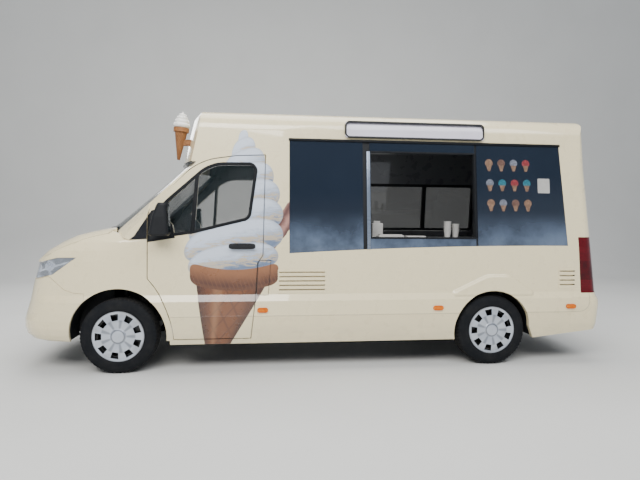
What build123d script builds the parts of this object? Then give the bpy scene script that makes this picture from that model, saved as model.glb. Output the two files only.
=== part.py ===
from build123d import *
import math
import os

# Ice cream van: a large cab with a moulded body behind it, a roof pod over the cab and a serving hatch.
# Millimetres. +X forward, +Y to the van's left, +Z up, origin on the ground below the middle.
# "aft" lengths are measured back from the front axle, the way the maker's drawings give them.

os.makedirs("parts", exist_ok=True)

# Main lengths and heights
wheelbase = 3665
front_overhang = 1004
rear_overhang = 1263
roof_height = 2600
wall = 45
door_thickness = 58
panel_gap = 6
shut_gap = 8
door_skin = 20
door_rebate = 16
seat_gap = 0.3

# Wheels and tyres
tyre_radius = 356
tyre_width = 226
rim_radius = 203
track = 1716
wheel_windows = 9
arch_radius_front = 444
arch_radius_rear = 396

front_x = (wheelbase + front_overhang + rear_overhang) / 2
rear_x = -front_x
front_axle_x = front_x - front_overhang
rear_axle_x = front_axle_x - wheelbase
axle_z = tyre_radius
half_track = track / 2


def aft(distance):
    """Place along the van, from its distance behind the front axle."""
    return front_axle_x - distance


# Side of the body in cross-section, from the sill up: half width, height
sill_z = 265
crease_z = 535
ledge_low_z = 683
ledge_high_z = 745
half_width = 1010
side_points = [
    (half_width - 60, sill_z),
    (half_width - 5, crease_z),
    (half_width, ledge_low_z),
    (half_width - 25, ledge_high_z),
    (half_width - 42, 1200),
    (half_width - 140, 2150),
    (half_width - 158, 2335),
]
eave_y, eave_z = side_points[-1]
roof_edge_y, roof_edge_z = 720, 2520
eave_mid_y, eave_mid_z = 806, 2458


def side_y(height):
    """Half width of the body at a height, by the straight runs between the side's points."""
    below = side_points[0]
    for point in side_points[1:]:
        if height <= point[1]:
            share = (height - below[1]) / (point[1] - below[1])
            return below[0] + share * (point[0] - below[0])
        below = point
    return eave_y


# Plan outlines of cab and body: height, rear face x, front face x at screen_half, forward bow of the front
screen_half = 700
rear_corner = 110
rear_bow = 55
coach_levels = [
    (sill_z - 60, rear_x + 61, aft(-255), 207),
    (crease_z, rear_x + 56, aft(-255), 207),
    (ledge_low_z, rear_x + 54, aft(-255), 207),
    (ledge_high_z, rear_x + 60, aft(-255), 207),
    (1200, rear_x + 104, aft(-255), 207),
    (2014, rear_x + 151, aft(637), 120),
    (2021, rear_x + 151, aft(589), 120),
    (2478, rear_x + 171, aft(705), 120),
    (2512, rear_x + 190, aft(735), 120),
    (2560, rear_x + 240, aft(830), 120),
    (roof_height + 20, rear_x + 370, aft(1000), 120),
]


def coach_outline(height, rear, front, bow, inset, tail_bow=rear_bow):
    """Closed plan outline of cab and body at one height, drawn in by inset all round."""
    half = side_y(height) - inset
    rear += inset
    front -= inset
    radius = (screen_half**2 + bow**2) / (2 * bow)
    front_end = front + bow - radius + math.sqrt(radius**2 - half**2)
    corner_x = rear + tail_bow + rear_corner
    inner = half - rear_corner
    diagonal = rear_corner * (1 - math.sqrt(0.5))
    rear_side = rear + tail_bow
    with BuildSketch() as outline:
        with BuildLine():
            ThreePointArc((rear_side, inner), (rear, 0), (rear_side, -inner))
            ThreePointArc((rear_side, -inner), (rear_side + diagonal, -half + diagonal), (corner_x, -half))
            Line((corner_x, -half), (front_end, -half))
            ThreePointArc((front_end, -half), (front + bow, 0), (front_end, half))
            Line((front_end, half), (corner_x, half))
            ThreePointArc((corner_x, half), (rear_side + diagonal, half - diagonal), (rear_side, inner))
        make_face()
    return outline.sketch


def side_line(inset, height=0):
    """The side's cross-section curve on the left, drawn in by inset: a polyline's points, then its arc."""
    points = [(y - inset, z) for y, z in side_points]
    lower = (points[0][0], points[0][1] - height)
    edge = (roof_edge_y - 0.5 * inset, roof_edge_z - inset)
    middle = (eave_mid_y - 0.75 * inset, eave_mid_z - 0.65 * inset)
    return [lower] + points[1:], middle, edge


def section_face(inset, foot=0):
    """Whole cross-section of cab and body, drawn in by inset, its foot lowered."""
    points, middle, edge = side_line(inset, foot)
    with BuildSketch() as outline:
        with BuildLine():
            Polyline(*points)
            ThreePointArc(points[-1], middle, edge)
            ThreePointArc(edge, (0, roof_height - inset), (-edge[0], edge[1]))
            ThreePointArc((-edge[0], edge[1]), (-middle[0], middle[1]), (-points[-1][0], points[-1][1]))
            Polyline(*[(-y, z) for y, z in reversed(points)])
            Line((-points[0][0], points[0][1]), points[0])
        make_face()
    return outline.sketch


def coach_solid(inset, foot=0):
    """Solid under the skin of cab and body, drawn in by inset."""
    with BuildPart() as solid:
        for height, rear, front, bow in coach_levels:
            with BuildSketch(Plane.XY.offset(height)):
                add(coach_outline(height, rear, front, bow, inset))
        loft(ruled=True)
        with BuildSketch(Plane.YZ.offset(rear_x)):
            add(section_face(inset, foot))
        extrude(amount=front_x - rear_x, mode=Mode.INTERSECT)
    return solid.part


def side_layer(outline, outer, inner):
    """Slab of the left side between two depths under the skin, within an outline drawn in side view."""
    outer_points, outer_middle, outer_edge = side_line(outer, 60)
    inner_points, inner_middle, inner_edge = side_line(inner, 60)
    with BuildPart() as slab:
        with BuildSketch(Plane.YZ.offset(rear_x)):
            with BuildLine():
                Polyline(*outer_points)
                ThreePointArc(outer_points[-1], outer_middle, outer_edge)
                Line(outer_edge, inner_edge)
                ThreePointArc(inner_edge, inner_middle, inner_points[-1])
                Polyline(*reversed(inner_points))
                Line(inner_points[0], outer_points[0])
            make_face()
        extrude(amount=front_x - rear_x)
        with BuildSketch(Plane.XZ.offset(-half_width - 40)):
            add(outline)
        extrude(amount=half_width, mode=Mode.INTERSECT)
    return slab.part


def block(x0, x1, y0, y1, z0, z1):
    """Box between two corners."""
    with BuildPart(Plane(((x0 + x1) / 2, (y0 + y1) / 2, z0))) as body:
        Box(abs(x1 - x0), abs(y1 - y0), abs(z1 - z0), align=(Align.CENTER, Align.CENTER, Align.MIN))
    return body.part


def side_prism(outline, y0, y1):
    """Outline drawn in side view, run across the van from y0 to y1."""
    with BuildPart() as prism:
        with BuildSketch(Plane.XZ.offset(-y1)):
            add(outline)
        extrude(amount=y1 - y0)
    return prism.part


def across(solid):
    """The same solid on the other side of the van."""
    with BuildPart() as other:
        mirror(solid, about=Plane.XZ)
    return other.part


def save(part, name):
    """Label a finished piece and write its file."""
    part.label = name
    export_step(part, "parts/" + name + ".step")


# Outlines drawn in side view

door_rear_top = (aft(1367), 2088)
door_waist_rear = (aft(1345), 1123)
door_step = (aft(1294), 1047)
door_low_rear = (aft(1276), 713)
door_foot_rear = (aft(1230), 322)
door_foot_front = (aft(512), 322)
door_front_top = aft(275)


def door_outline(grow=0):
    """Cab door seen from the side, its front foot following the wheel arch."""
    with BuildSketch() as outline:
        with BuildLine():
            Polyline(
                door_foot_front,
                door_foot_rear,
                door_low_rear,
                door_step,
                door_waist_rear,
                door_rear_top,
                (aft(1097), 2076),
                (aft(885), 2044),
            )
            ThreePointArc((aft(885), 2044), (aft(760), 2000), (aft(640), 1924))
            Polyline((aft(640), 1924), (aft(300), 1590), (door_front_top, 1500), (door_front_top, 903))
            ThreePointArc((door_front_top, 903), (aft(440), 640), door_foot_front)
        make_face()
        if grow:
            offset(amount=grow, kind=Kind.INTERSECTION)
    return outline.sketch


def door_glass_outline(grow=0):
    """Side window of the cab door."""
    with BuildSketch() as outline:
        with BuildLine():
            Polyline(
                (aft(305), 1284),
                (aft(519), 1305),
                (aft(701), 1331),
                (aft(933), 1391),
                (aft(1160), 1447),
            )
            ThreePointArc((aft(1160), 1447), (aft(1213), 1475), (aft(1236), 1530))
            Line((aft(1236), 1530), (aft(1290), 1920))
            ThreePointArc((aft(1290), 1920), (aft(1273), 1985), (aft(1215), 2014))
            Line((aft(1215), 2014), (aft(960), 2010))
            ThreePointArc((aft(960), 2010), (aft(850), 1985), (aft(754), 1930))
            Polyline((aft(754), 1930), (aft(450), 1655), (aft(305), 1500), (aft(305), 1284))
        make_face()
        if grow:
            offset(amount=grow, kind=Kind.INTERSECTION)
    return outline.sketch


hatch_front = aft(1602)
hatch_rear_top = aft(4402)
hatch_rear_low = aft(4470)
hatch_top = 2256
hatch_low_front = 1139
hatch_low_mid = 1200
hatch_low_rear = 1215


def hatch_outline(grow=0):
    """Serving window opening: straight top, leaning rear edge and a low edge that rises to the rear."""
    with BuildSketch() as outline:
        with BuildLine():
            ThreePointArc(
                (hatch_front, hatch_low_front),
                ((hatch_front + hatch_rear_low) / 2, hatch_low_mid),
                (hatch_rear_low, hatch_low_rear),
            )
            Polyline(
                (hatch_rear_low, hatch_low_rear),
                (hatch_rear_top, hatch_top),
                (hatch_front, hatch_top),
                (hatch_front, hatch_low_front),
            )
        make_face()
        if grow:
            offset(amount=grow, kind=Kind.INTERSECTION)
    return outline.sketch


def rectangle(x0, x1, z0, z1, radius=0):
    """Upright rectangle between two corners, its corners rounded."""
    with BuildSketch() as outline:
        with Locations(((x0 + x1) / 2, (z0 + z1) / 2)):
            if radius:
                RectangleRounded(abs(x1 - x0), abs(z1 - z0), radius)
            else:
                Rectangle(abs(x1 - x0), abs(z1 - z0))
    return outline.sketch


# Moulded body and cab shell, split at the eaves, the pod's crease and the rear corners
seam_z = 2300
pod_low_z = 2024
pod_seam_z = 2128
cowl_z = 1262
cowl_top_z = 1352
screen_low_z = 1362

# Low edge of the body: sill ahead of the rear wheel, then rising to the tail
sill_front = aft(471)
sill_top_z = 318
nose_foot_z = 306
wing_rear = aft(506)
tail_line = [
    (aft(3665), sill_z - 1),
    (aft(4100), sill_z - 1),
    (aft(4787), 346),
    (aft(4857), 407),
    (rear_x, 440),
]
hinge_room = 8


# Bonnet's left edge seen from above, from the hinge to the nose
bonnet_edge = [
    (aft(-50), 790),
    (aft(-108), 868),
    (aft(-374), 880),
    (aft(-640), 838),
    (aft(-800), 720),
    (aft(-1030), 560),
]


def bonnet_plan(grow=0):
    """Bonnet seen from above."""
    with BuildSketch() as outline:
        with BuildLine():
            ThreePointArc((aft(-50), 790), (aft(-300), 0), (aft(-50), -790))
            Polyline(*[(x, -y) for x, y in bonnet_edge], *reversed(bonnet_edge))
        make_face()
        if grow:
            offset(amount=grow, kind=Kind.INTERSECTION)
    return outline.sketch


def bonnet_prism(grow, low):
    """Bonnet's plan outline run upward from a height."""
    with BuildPart() as prism:
        with BuildSketch(Plane.XY.offset(low)):
            add(bonnet_plan(grow))
        extrude(amount=700)
    return prism.part


def bonnet_clearance(low):
    """Room round the bonnet, wider at its hinge edge."""
    with BuildPart() as room:
        add(bonnet_prism(shut_gap, low))
        add(Pos(-hinge_room, 0, 0) * bonnet_prism(shut_gap, low))
    return room.part


coach_full = coach_solid(0)
coach_shell = coach_full - coach_solid(wall, 120)


def side_region():
    """Region of the body sides: cab pillar, rail over the door, sill under it, and the side behind it."""
    with BuildSketch() as outline:
        with BuildLine():
            Polyline(
                *reversed(tail_line),
                (sill_front, sill_z - 1),
                (sill_front, nose_foot_z - seat_gap),
                (wing_rear - seat_gap, nose_foot_z - seat_gap),
                (wing_rear - seat_gap, sill_top_z),
                (aft(1222), sill_top_z),
                (aft(1222), cowl_z),
                (aft(103), cowl_z),
                (aft(-79), cowl_top_z),
                (aft(-79), 1400),
                (aft(645), pod_low_z),
                (aft(652), pod_seam_z),
                (aft(1521), pod_seam_z),
                (aft(1560), seam_z),
                (rear_x, seam_z),
                tail_line[-1],
            )
        make_face()
    return outline.sketch


def roof_region():
    """Region of the roof moulding, drawn in side view."""
    with BuildSketch() as outline:
        with BuildLine():
            Polyline(
                (rear_x, seam_z + seat_gap),
                (aft(1560), seam_z + seat_gap),
                (aft(1521), pod_seam_z + seat_gap),
                (aft(652) + seat_gap, pod_seam_z + seat_gap),
                (aft(645) + seat_gap, pod_low_z),
                (aft(300), pod_low_z),
                (aft(300), roof_height + 50),
                (rear_x, roof_height + 50),
                (rear_x, seam_z + seat_gap),
            )
        make_face()
    return outline.sketch


def arch_cut(axle, radius):
    """Round opening over a wheel; the rear one's trailing edge leans back below the crease."""
    with BuildSketch() as outline:
        with Locations((axle, axle_z + 8)):
            Circle(radius)
        if axle == rear_axle_x:
            with BuildLine():
                Polyline(
                    (axle, 480),
                    (aft(4022) - radius + arch_radius_rear, 480),
                    (aft(4124) - radius + arch_radius_rear, sill_z - 15),
                    (axle, sill_z - 15),
                    (axle, 480),
                )
            make_face()
    return outline.sketch


# Cuts that several pieces share
pillar_half = screen_half + 60
rear_seam_x = rear_x + 366
rear_flat = half_width - rear_corner - 60
bumper_top_rear = 690
flap_outline_points = [
    (aft(1290), 742),
    (aft(1308), 1047),
    (aft(1318), 1068),
    (aft(1422), 1068),
    (aft(1398), 742),
]
flap_thickness = 14


def polygon(points, grow=0):
    """Straight-sided outline through points, grown all round."""
    with BuildSketch() as outline:
        with BuildLine():
            Polyline(*points, points[0])
        make_face()
        if grow:
            offset(amount=grow, kind=Kind.INTERSECTION)
    return outline.sketch


# Raised moulding over the rear wheel, flush with the lower side
flare_points = [
    (aft(3270), 738),
    (aft(3590), 885),
    (aft(3625), 892),
    (aft(3800), 892),
    (aft(3835), 885),
    (aft(4062), 738),
]
flare_depth = 20

# Louvred vents: rear and front ends, low and high edges, slots, distance between slots
vent_rows = [(aft(1961), aft(1492), 754, 991, 5, 42), (aft(4555), aft(4367), 780, 992, 4, 46)]
slot_height = 14
vent_lift = 3
vent_floor_y = 955


def vent_slots(rear, front, low, high, slots, pitch):
    """Slots of one louvred vent."""
    with BuildSketch() as outline:
        for row in range(slots):
            with Locations(((rear + front) / 2, (low + high) / 2 + (row - (slots - 1) / 2) * pitch)):
                Rectangle(front - rear - 24, slot_height)
    return outline.sketch


def vent_blades(rear, front, low, high, slots, pitch):
    """Lips along the upper edges of one vent's slots."""
    with BuildSketch() as outline:
        for row in range(slots):
            middle = (low + high) / 2 + (row - (slots - 1) / 2) * pitch
            with Locations(((rear + front) / 2, middle + slot_height / 2 + 4)):
                Rectangle(front - rear - 24, 8)
    return outline.sketch


tail_lamp_inner = 800
tail_lamp_points = [(aft(4585), 1303), (aft(4790), 1303), (rear_x, 732), (aft(4612), 732)]

door_frame = 5
frame_reach = 22
frame_lap = 45
frame_inner = door_thickness + seat_gap + door_frame
frame_outline = door_outline(shut_gap + frame_reach)
with BuildPart() as left_side:
    add(coach_shell)
    with BuildSketch(Plane.XZ.offset(-half_width - 10)):
        add(side_region())
    extrude(amount=half_width + 10, mode=Mode.INTERSECT)
    with BuildSketch(Plane.XZ.offset(-half_width - 10)):
        add(door_outline(shut_gap))
        add(arch_cut(rear_axle_x, arch_radius_rear))
        add(rectangle(rear_x, rear_seam_x + 60, 0, bumper_top_rear))
        add(polygon(tail_lamp_points, 1))
    extrude(amount=half_width + 10, mode=Mode.SUBTRACT)
    add(block(rear_x, rear_seam_x, -half_width, rear_flat, 0, seam_z + 1), mode=Mode.SUBTRACT)
    add(block(aft(700), aft(-400), -half_width, pillar_half, 1200, 2400), mode=Mode.SUBTRACT)
    frame_web = (frame_outline - door_outline(shut_gap)) & side_region()
    frame_lip = (frame_outline - door_outline(-frame_lap)) & side_region()
    add(side_layer(frame_web, wall - 1, frame_inner))
    add(side_layer(frame_lip, frame_inner - door_frame, frame_inner))
    add(side_layer(polygon(flare_points) - arch_cut(rear_axle_x, arch_radius_rear), -flare_depth, 5))
    add(bonnet_clearance(1200), mode=Mode.SUBTRACT)
side_blank = left_side.part

with BuildPart() as body_left:
    add(side_blank)
    with BuildSketch(Plane.XZ.offset(-half_width - 10)):
        add(hatch_outline())
    extrude(amount=400, mode=Mode.SUBTRACT)
    add(side_layer(polygon(flap_outline_points, panel_gap), -5, 30), mode=Mode.SUBTRACT)
    add(side_layer(rectangle(aft(1330), aft(1315), 850, 950), flap_thickness + seat_gap, 31))
    for vent in vent_rows:
        add(side_prism(vent_slots(*vent), vent_floor_y, half_width), mode=Mode.SUBTRACT)
save(body_left.part, "body_left")

far_front, far_rear, far_low, far_high = aft(2650), aft(4250), 1330, 1966
with BuildPart() as body_right:
    mirror(side_blank, about=Plane.XZ)
    with BuildSketch(Plane.XZ.offset(half_width - 400)):
        add(rectangle(far_front, far_rear, far_low, far_high, 60))
    extrude(amount=410, mode=Mode.SUBTRACT)
save(body_right.part, "body_right")

with BuildPart() as roof:
    add(coach_shell)
    with BuildSketch(Plane.XZ):
        add(roof_region())
    extrude(amount=half_width + 10, both=True, mode=Mode.INTERSECT)
save(roof.part, "roof")

rear_door_half = 330
rear_door_low, rear_door_high = 760, 2180

# Rear door hinges: pins outside the leaning wall, along the gap at the door's left edge
hinge_lean = 0.0675
hinge_foot = Vector(rear_x + 54, rear_door_half - shut_gap / 2, rear_door_low)
hinge_axis = Vector(hinge_lean, 0, 1).normalized()
hinge_rows = (140, 710, 1280)
hinge_half = 55
hinge_pin_radius, hinge_barrel_radius = 6, 10
hinge_leaf = 60


def hinge_rod(start, length, radius):
    """Round bar along the rear door's hinge axis, from a distance up it."""
    with BuildPart() as rod:
        with BuildSketch(Plane(hinge_foot + hinge_axis * start, x_dir=(0, 1, 0), z_dir=hinge_axis)):
            Circle(radius)
        extrude(amount=length)
    return rod.part


def hinge_leaves(side, start, length):
    """One half of every hinge: barrel and leaf, to the given side of the axis and up to the skin."""
    with BuildPart() as leaves:
        for row in hinge_rows:
            low = hinge_foot + hinge_axis * (row + start)
            leaf_y = low.Y + side * hinge_leaf
            add(block(low.X - 3, low.X + 40, low.Y, leaf_y, low.Z + 1, low.Z + length - 3))
        add(coach_full, mode=Mode.SUBTRACT)
        for row in hinge_rows:
            add(hinge_rod(row + start, length, hinge_barrel_radius))
    return leaves.part


with BuildPart() as rear_wall:
    add(coach_shell)
    add(
        block(rear_x, rear_seam_x, seat_gap - rear_flat, rear_flat - seat_gap, bumper_top_rear, seam_z),
        mode=Mode.INTERSECT,
    )
    with BuildSketch(Plane.YZ.offset(rear_x)):
        add(rectangle(-rear_door_half, rear_door_half, rear_door_low, rear_door_high, 40))
    extrude(amount=500, mode=Mode.SUBTRACT)
    lamp_cut = side_prism(polygon(tail_lamp_points, 1), tail_lamp_inner, half_width)
    add(lamp_cut, mode=Mode.SUBTRACT)
    add(across(lamp_cut), mode=Mode.SUBTRACT)
    add(hinge_leaves(1, -hinge_half, hinge_half - seat_gap))
    for row in hinge_rows:
        add(hinge_rod(row - hinge_half, 2 * hinge_half, hinge_pin_radius))
save(rear_wall.part, "rear_wall")

rear_pane_half = 230
rear_pane_low = 1300
rear_pane_high = 2080


def rear_pane_outline(inset=0):
    """Window of the rear door seen from behind."""
    half = rear_pane_half - inset
    return rectangle(-half, half, rear_pane_low + inset, rear_pane_high - inset, 40 - inset)


with BuildPart() as rear_door:
    add(coach_shell)
    with BuildSketch(Plane.YZ.offset(rear_x)):
        door_half = rear_door_half - shut_gap
        add(rectangle(-door_half, door_half, rear_door_low + shut_gap, rear_door_high - shut_gap, 34))
    extrude(amount=500, mode=Mode.INTERSECT)
    with BuildSketch(Plane.YZ.offset(rear_x)):
        add(rear_pane_outline())
    extrude(amount=500, mode=Mode.SUBTRACT)
    add(hinge_leaves(-1, 0, hinge_half))
    for row in hinge_rows:
        add(hinge_rod(row - 1, hinge_half + 2, hinge_pin_radius + seat_gap), mode=Mode.SUBTRACT)
save(rear_door.part, "rear_door")

with BuildPart() as rear_door_glass:
    add(coach_solid(14) - coach_solid(20, 120))
    with BuildSketch(Plane.YZ.offset(rear_x)):
        add(rear_pane_outline(seat_gap))
    extrude(amount=500, mode=Mode.INTERSECT)
save(rear_door_glass.part, "rear_door_glass")


# Nose: wings, bonnet, bumper, grille and headlamps cut from one hollow form
nose_wall = 30
corner_half = 640
nose_bow = 48
shoulder_run = 515
shoulder_drop = 75
nose_levels = [
    (nose_foot_z, aft(-820)),
    (324, aft(-892)),
    (366, aft(-938)),
    (430, front_x - nose_bow),
    (500, aft(-954)),
    (560, aft(-938)),
    (683, aft(-900)),
    (745, aft(-889)),
    (820, aft(-874)),
    (1000, aft(-829)),
    (1060, aft(-820)),
    (1110, aft(-776)),
    (1160, aft(-722)),
    (1240, aft(-590)),
    (1330, aft(-400)),
    (1440, aft(-100)),
]
bonnet_radius = 3276
bonnet_peak_x = aft(439)
bonnet_peak_z = 1454
bonnet_start = 12
shoulder_y = 740
crown_drop = 35


def nose_outline(height, corner, inset):
    """Closed plan outline of the nose at one height: flat sides, rounded corners and a bowed front."""
    half = side_y(height) - inset
    corner -= inset
    corner_y = corner_half - 0.4 * inset
    bend_y = half - shoulder_drop
    bend_x = corner - (bend_y - corner_y) / 1.167
    front = corner + nose_bow
    radius = (corner_y**2 + nose_bow**2) / (2 * nose_bow)
    with BuildSketch() as outline:
        with BuildLine():
            Line((aft(700) - inset, half), (bend_x - shoulder_run, half))
            side_arc = TangentArc((bend_x - shoulder_run, half), (bend_x, bend_y), tangent=(1, 0))
            corner_arc = TangentArc((bend_x, bend_y), (corner, corner_y), tangent=side_arc % 1)
            quarter_y = corner_y / 2
            quarter_x = front - radius + math.sqrt(radius**2 - quarter_y**2)
            ThreePointArc((corner, corner_y), (quarter_x, quarter_y), (front, 0))
            mirror(about=Plane.XZ)
            Line((aft(700) - inset, -half), (aft(700) - inset, half))
        make_face()
    return outline.sketch


def nose_solid(inset, foot=0):
    """Solid under the skin of the nose, drawn in by inset."""
    crown_radius = (shoulder_y**2 + crown_drop**2) / (2 * crown_drop)
    half_y = shoulder_y / 2
    half_drop = crown_radius - math.sqrt(crown_radius**2 - half_y**2)
    top = bonnet_radius - inset
    shoulder_end = (990 - inset, top - 330 + 0.7 * inset)
    hem = (1060, bonnet_radius - 420)
    depth = bonnet_radius - 1600
    lean = math.radians(bonnet_start)
    hub_point = (bonnet_peak_x, 0, bonnet_peak_z - bonnet_radius)
    start_plane = Plane(hub_point, x_dir=(0, 1, 0), z_dir=(math.cos(lean), 0, math.sin(lean)))
    with BuildPart() as solid:
        for height, corner in nose_levels:
            level = height - foot if height == nose_levels[0][0] else height
            with BuildSketch(Plane.XY.offset(level)):
                add(nose_outline(level, corner, inset))
        loft(ruled=True)
        with BuildSketch(start_plane):
            with BuildLine():
                crown_arc = ThreePointArc((0, top), (half_y, top - half_drop), (shoulder_y, top - crown_drop))
                TangentArc(crown_arc @ 1, shoulder_end, tangent=crown_arc % 1)
                Polyline(shoulder_end, hem, (hem[0], depth), (0, depth))
                mirror(about=Plane.YZ)
            make_face()
        revolve(axis=Axis(hub_point, (0, 1, 0)), revolution_arc=45 + bonnet_start, mode=Mode.INTERSECT)
    return solid.part


nose_full = nose_solid(0)
nose_shell = nose_full - nose_solid(nose_wall, 60)
nose_lining = nose_solid(nose_wall + seat_gap, 60)

headlamp_points = [
    (aft(-1010), 893),
    (aft(-783), 893),
    (aft(-601), 936),
    (aft(-374), 1098),
    (aft(-560), 1094),
    (aft(-738), 1050),
    (aft(-1010), 1004),
]
headlamp_inner = 470
bumper_points = [
    (aft(-300), 200),
    (front_x + 20, 200),
    (front_x + 20, 886),
    (aft(-783), 886),
    (aft(-640), 918),
    (aft(-560), 860),
    (aft(-490), 800),
    (aft(-400), 768),
    (aft(-300), 762),
]
wing_points = [
    (wing_rear, 200),
    (aft(-1010), 200),
    (aft(-1010), 1250),
    (aft(-300), 1400),
    (aft(-79), cowl_top_z - seat_gap),
    (aft(103), cowl_z - seat_gap),
    (wing_rear, cowl_z - seat_gap),
]
seam_width, seam_depth = 4, 6
nose_room, nose_room_z = 18, 1020
grille_half = 440
grille_low = 700
bonnet_front_z = 1012


with BuildPart() as bonnet:
    add(nose_shell)
    add(bonnet_prism(0, bonnet_front_z), mode=Mode.INTERSECT)
    lamp_clear = side_prism(polygon(headlamp_points, panel_gap), headlamp_inner - panel_gap, half_width)
    add(lamp_clear, mode=Mode.SUBTRACT)
    add(across(lamp_clear), mode=Mode.SUBTRACT)
save(bonnet.part, "bonnet")

headlamp_depth = 60
nose_lamp_shell = nose_full - nose_solid(headlamp_depth, 60)
with BuildPart() as headlamps:
    add(nose_lamp_shell)
    add(side_prism(polygon(headlamp_points), headlamp_inner, half_width), mode=Mode.INTERSECT)
    mirror(about=Plane.XZ)
save(headlamps.part, "headlamps")

with BuildPart() as front_wings:
    add(nose_shell)
    add(side_prism(polygon(wing_points), headlamp_inner, half_width + 1), mode=Mode.INTERSECT)
    with BuildSketch(Plane.XZ.offset(-half_width - 10)):
        add(door_outline(shut_gap))
        add(arch_cut(front_axle_x, arch_radius_front))
        add(polygon(headlamp_points, seat_gap))
        add(polygon(bumper_points, seat_gap))
    extrude(amount=half_width, mode=Mode.SUBTRACT)
    add(bonnet_clearance(980), mode=Mode.SUBTRACT)
    add(Pos(nose_room, 0, 0) * bonnet_prism(shut_gap, nose_room_z), mode=Mode.SUBTRACT)
    seam_skin = nose_full - nose_solid(seam_depth)
    seam = side_prism(polygon(bumper_points, seam_width), headlamp_inner, half_width)
    add(seam_skin & seam, mode=Mode.SUBTRACT)
    add(block(aft(-400), aft(500), 0, pillar_half, 1150, 1500), mode=Mode.SUBTRACT)
    mirror(about=Plane.XZ)
save(front_wings.part, "front_wings")

with BuildPart() as front_bumper:
    add(nose_shell)
    add(side_prism(polygon(bumper_points), -half_width, half_width), mode=Mode.INTERSECT)
    with BuildSketch(Plane.XZ.offset(-half_width - 10)):
        add(arch_cut(front_axle_x, arch_radius_front))
    extrude(amount=2 * half_width + 20, mode=Mode.SUBTRACT)
    add(block(aft(-700), front_x + 20, -grille_half, grille_half, grille_low, 1000), mode=Mode.SUBTRACT)
    add(block(aft(-700), front_x + 20, -380, 380, 350, 470), mode=Mode.SUBTRACT)
save(front_bumper.part, "front_bumper")

slat_count = 6
slat_pitch = 42
with BuildPart() as grille:
    add(nose_shell)
    add(
        block(
            aft(-700),
            front_x + 20,
            seat_gap - grille_half,
            grille_half - seat_gap,
            grille_low + seat_gap,
            bonnet_front_z - panel_gap,
        ),
        mode=Mode.INTERSECT,
    )
    with BuildSketch(Plane.YZ.offset(aft(-700))):
        for row in range(slat_count):
            with Locations((0, grille_low + 50 + row * slat_pitch)):
                Rectangle(2 * grille_half - 60, slat_pitch - 18)
    extrude(amount=400, mode=Mode.SUBTRACT)
    for place in (-390, 390):
        stop_low, stop_high = bonnet_front_z - panel_gap - 1, bonnet_front_z - seat_gap
        add(block(aft(-700), front_x, place - 12, place + 12, stop_low, stop_high) & nose_shell)
save(grille.part, "grille")

bulkhead_x = aft(262)
shelf_z = 1238
screen_clear_z = 1285
with BuildPart() as screen_cut:
    add(coach_full)
    add(block(aft(700), aft(-500), -pillar_half, pillar_half, screen_low_z, 1600), mode=Mode.INTERSECT)
screen_zone = screen_cut.part
with BuildPart() as screen_base:
    add(coach_shell)
    add(block(aft(300), aft(-500), -pillar_half, pillar_half, shelf_z, screen_low_z), mode=Mode.INTERSECT)
    add(bonnet_clearance(screen_clear_z), mode=Mode.SUBTRACT)
with BuildPart() as bulkhead:
    add(block(bulkhead_x, bulkhead_x + 25, -half_width, half_width, 840, shelf_z + 2))
    add(nose_lining, mode=Mode.INTERSECT)
    add(block(bulkhead_x, bulkhead_x + 25, -540, 540, 550, 841))
with BuildPart() as cowl_floor:
    add(coach_full)
    add(block(bulkhead_x, aft(-500), -pillar_half, pillar_half, shelf_z, cowl_z + 10), mode=Mode.INTERSECT)
with BuildPart() as scuttle:
    add(nose_shell)
    add(block(aft(-72), aft(-400), -pillar_half, pillar_half, 1150, 1500), mode=Mode.INTERSECT)
    add(bonnet_clearance(900), mode=Mode.SUBTRACT)
    add(screen_zone, mode=Mode.SUBTRACT)
    add(screen_base.part)
    add(bulkhead.part)
    add(cowl_floor.part)
save(scuttle.part, "scuttle")

with BuildPart() as windscreen:
    add(coach_full - coach_solid(8, 120))
    screen_half_y = pillar_half - seat_gap
    screen_low, screen_high = screen_low_z + seat_gap, pod_low_z - seat_gap
    add(
        block(aft(680), aft(-400), -screen_half_y, screen_half_y, screen_low, screen_high),
        mode=Mode.INTERSECT,
    )
save(windscreen.part, "windscreen")

# Cab doors
glass_thickness = 6
divider_points = [(aft(715), 2010), (aft(745), 2010), (aft(697), 1300), (aft(662), 1300)]
mirror_foot_points = [
    (aft(293), 1268),
    (aft(499), 1302),
    (aft(478), 1400),
    (aft(352), 1532),
    (aft(318), 1525),
    (aft(293), 1490),
]
mirror_corner = polygon(mirror_foot_points)
with BuildPart() as door_left:
    add(side_layer(door_outline(), 0, door_skin))
    add(side_layer(door_outline(-door_rebate), door_skin - 1, door_thickness))
    add(side_layer(door_glass_outline(1) - mirror_corner, -5, glass_thickness + seat_gap), mode=Mode.SUBTRACT)
    glass_window = door_glass_outline(-24) - polygon(divider_points) - polygon(mirror_foot_points, 20)
    add(side_layer(glass_window, -5, 100), mode=Mode.SUBTRACT)
    add(side_layer(rectangle(aft(1238), aft(1075), 1182, 1230, 20), -5, 14), mode=Mode.SUBTRACT)
    add(side_layer(rectangle(aft(1242), aft(1071), 1178, 1234, 22), 15, 19))
save(door_left.part, "door_left")
save(across(door_left.part), "door_right")

with BuildPart() as handle_left:
    add(side_layer(rectangle(aft(1269), aft(1030), 1190, 1222, 15), -46, -22))
    for foot in (1052, 1254):
        add(side_layer(rectangle(aft(foot + 14), aft(foot - 14), 1194, 1218, 10), -34, -seat_gap))
save(handle_left.part, "handle_left")
save(across(handle_left.part), "handle_right")

door_glass = side_layer(door_glass_outline() - polygon(mirror_foot_points, 1), 0, glass_thickness)
save(door_glass, "door_glass_left")
save(across(door_glass), "door_glass_right")

# Door mirrors: housing on a short arm from the door's front corner
mirror_out = 1172
mirror_in = 1010
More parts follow.
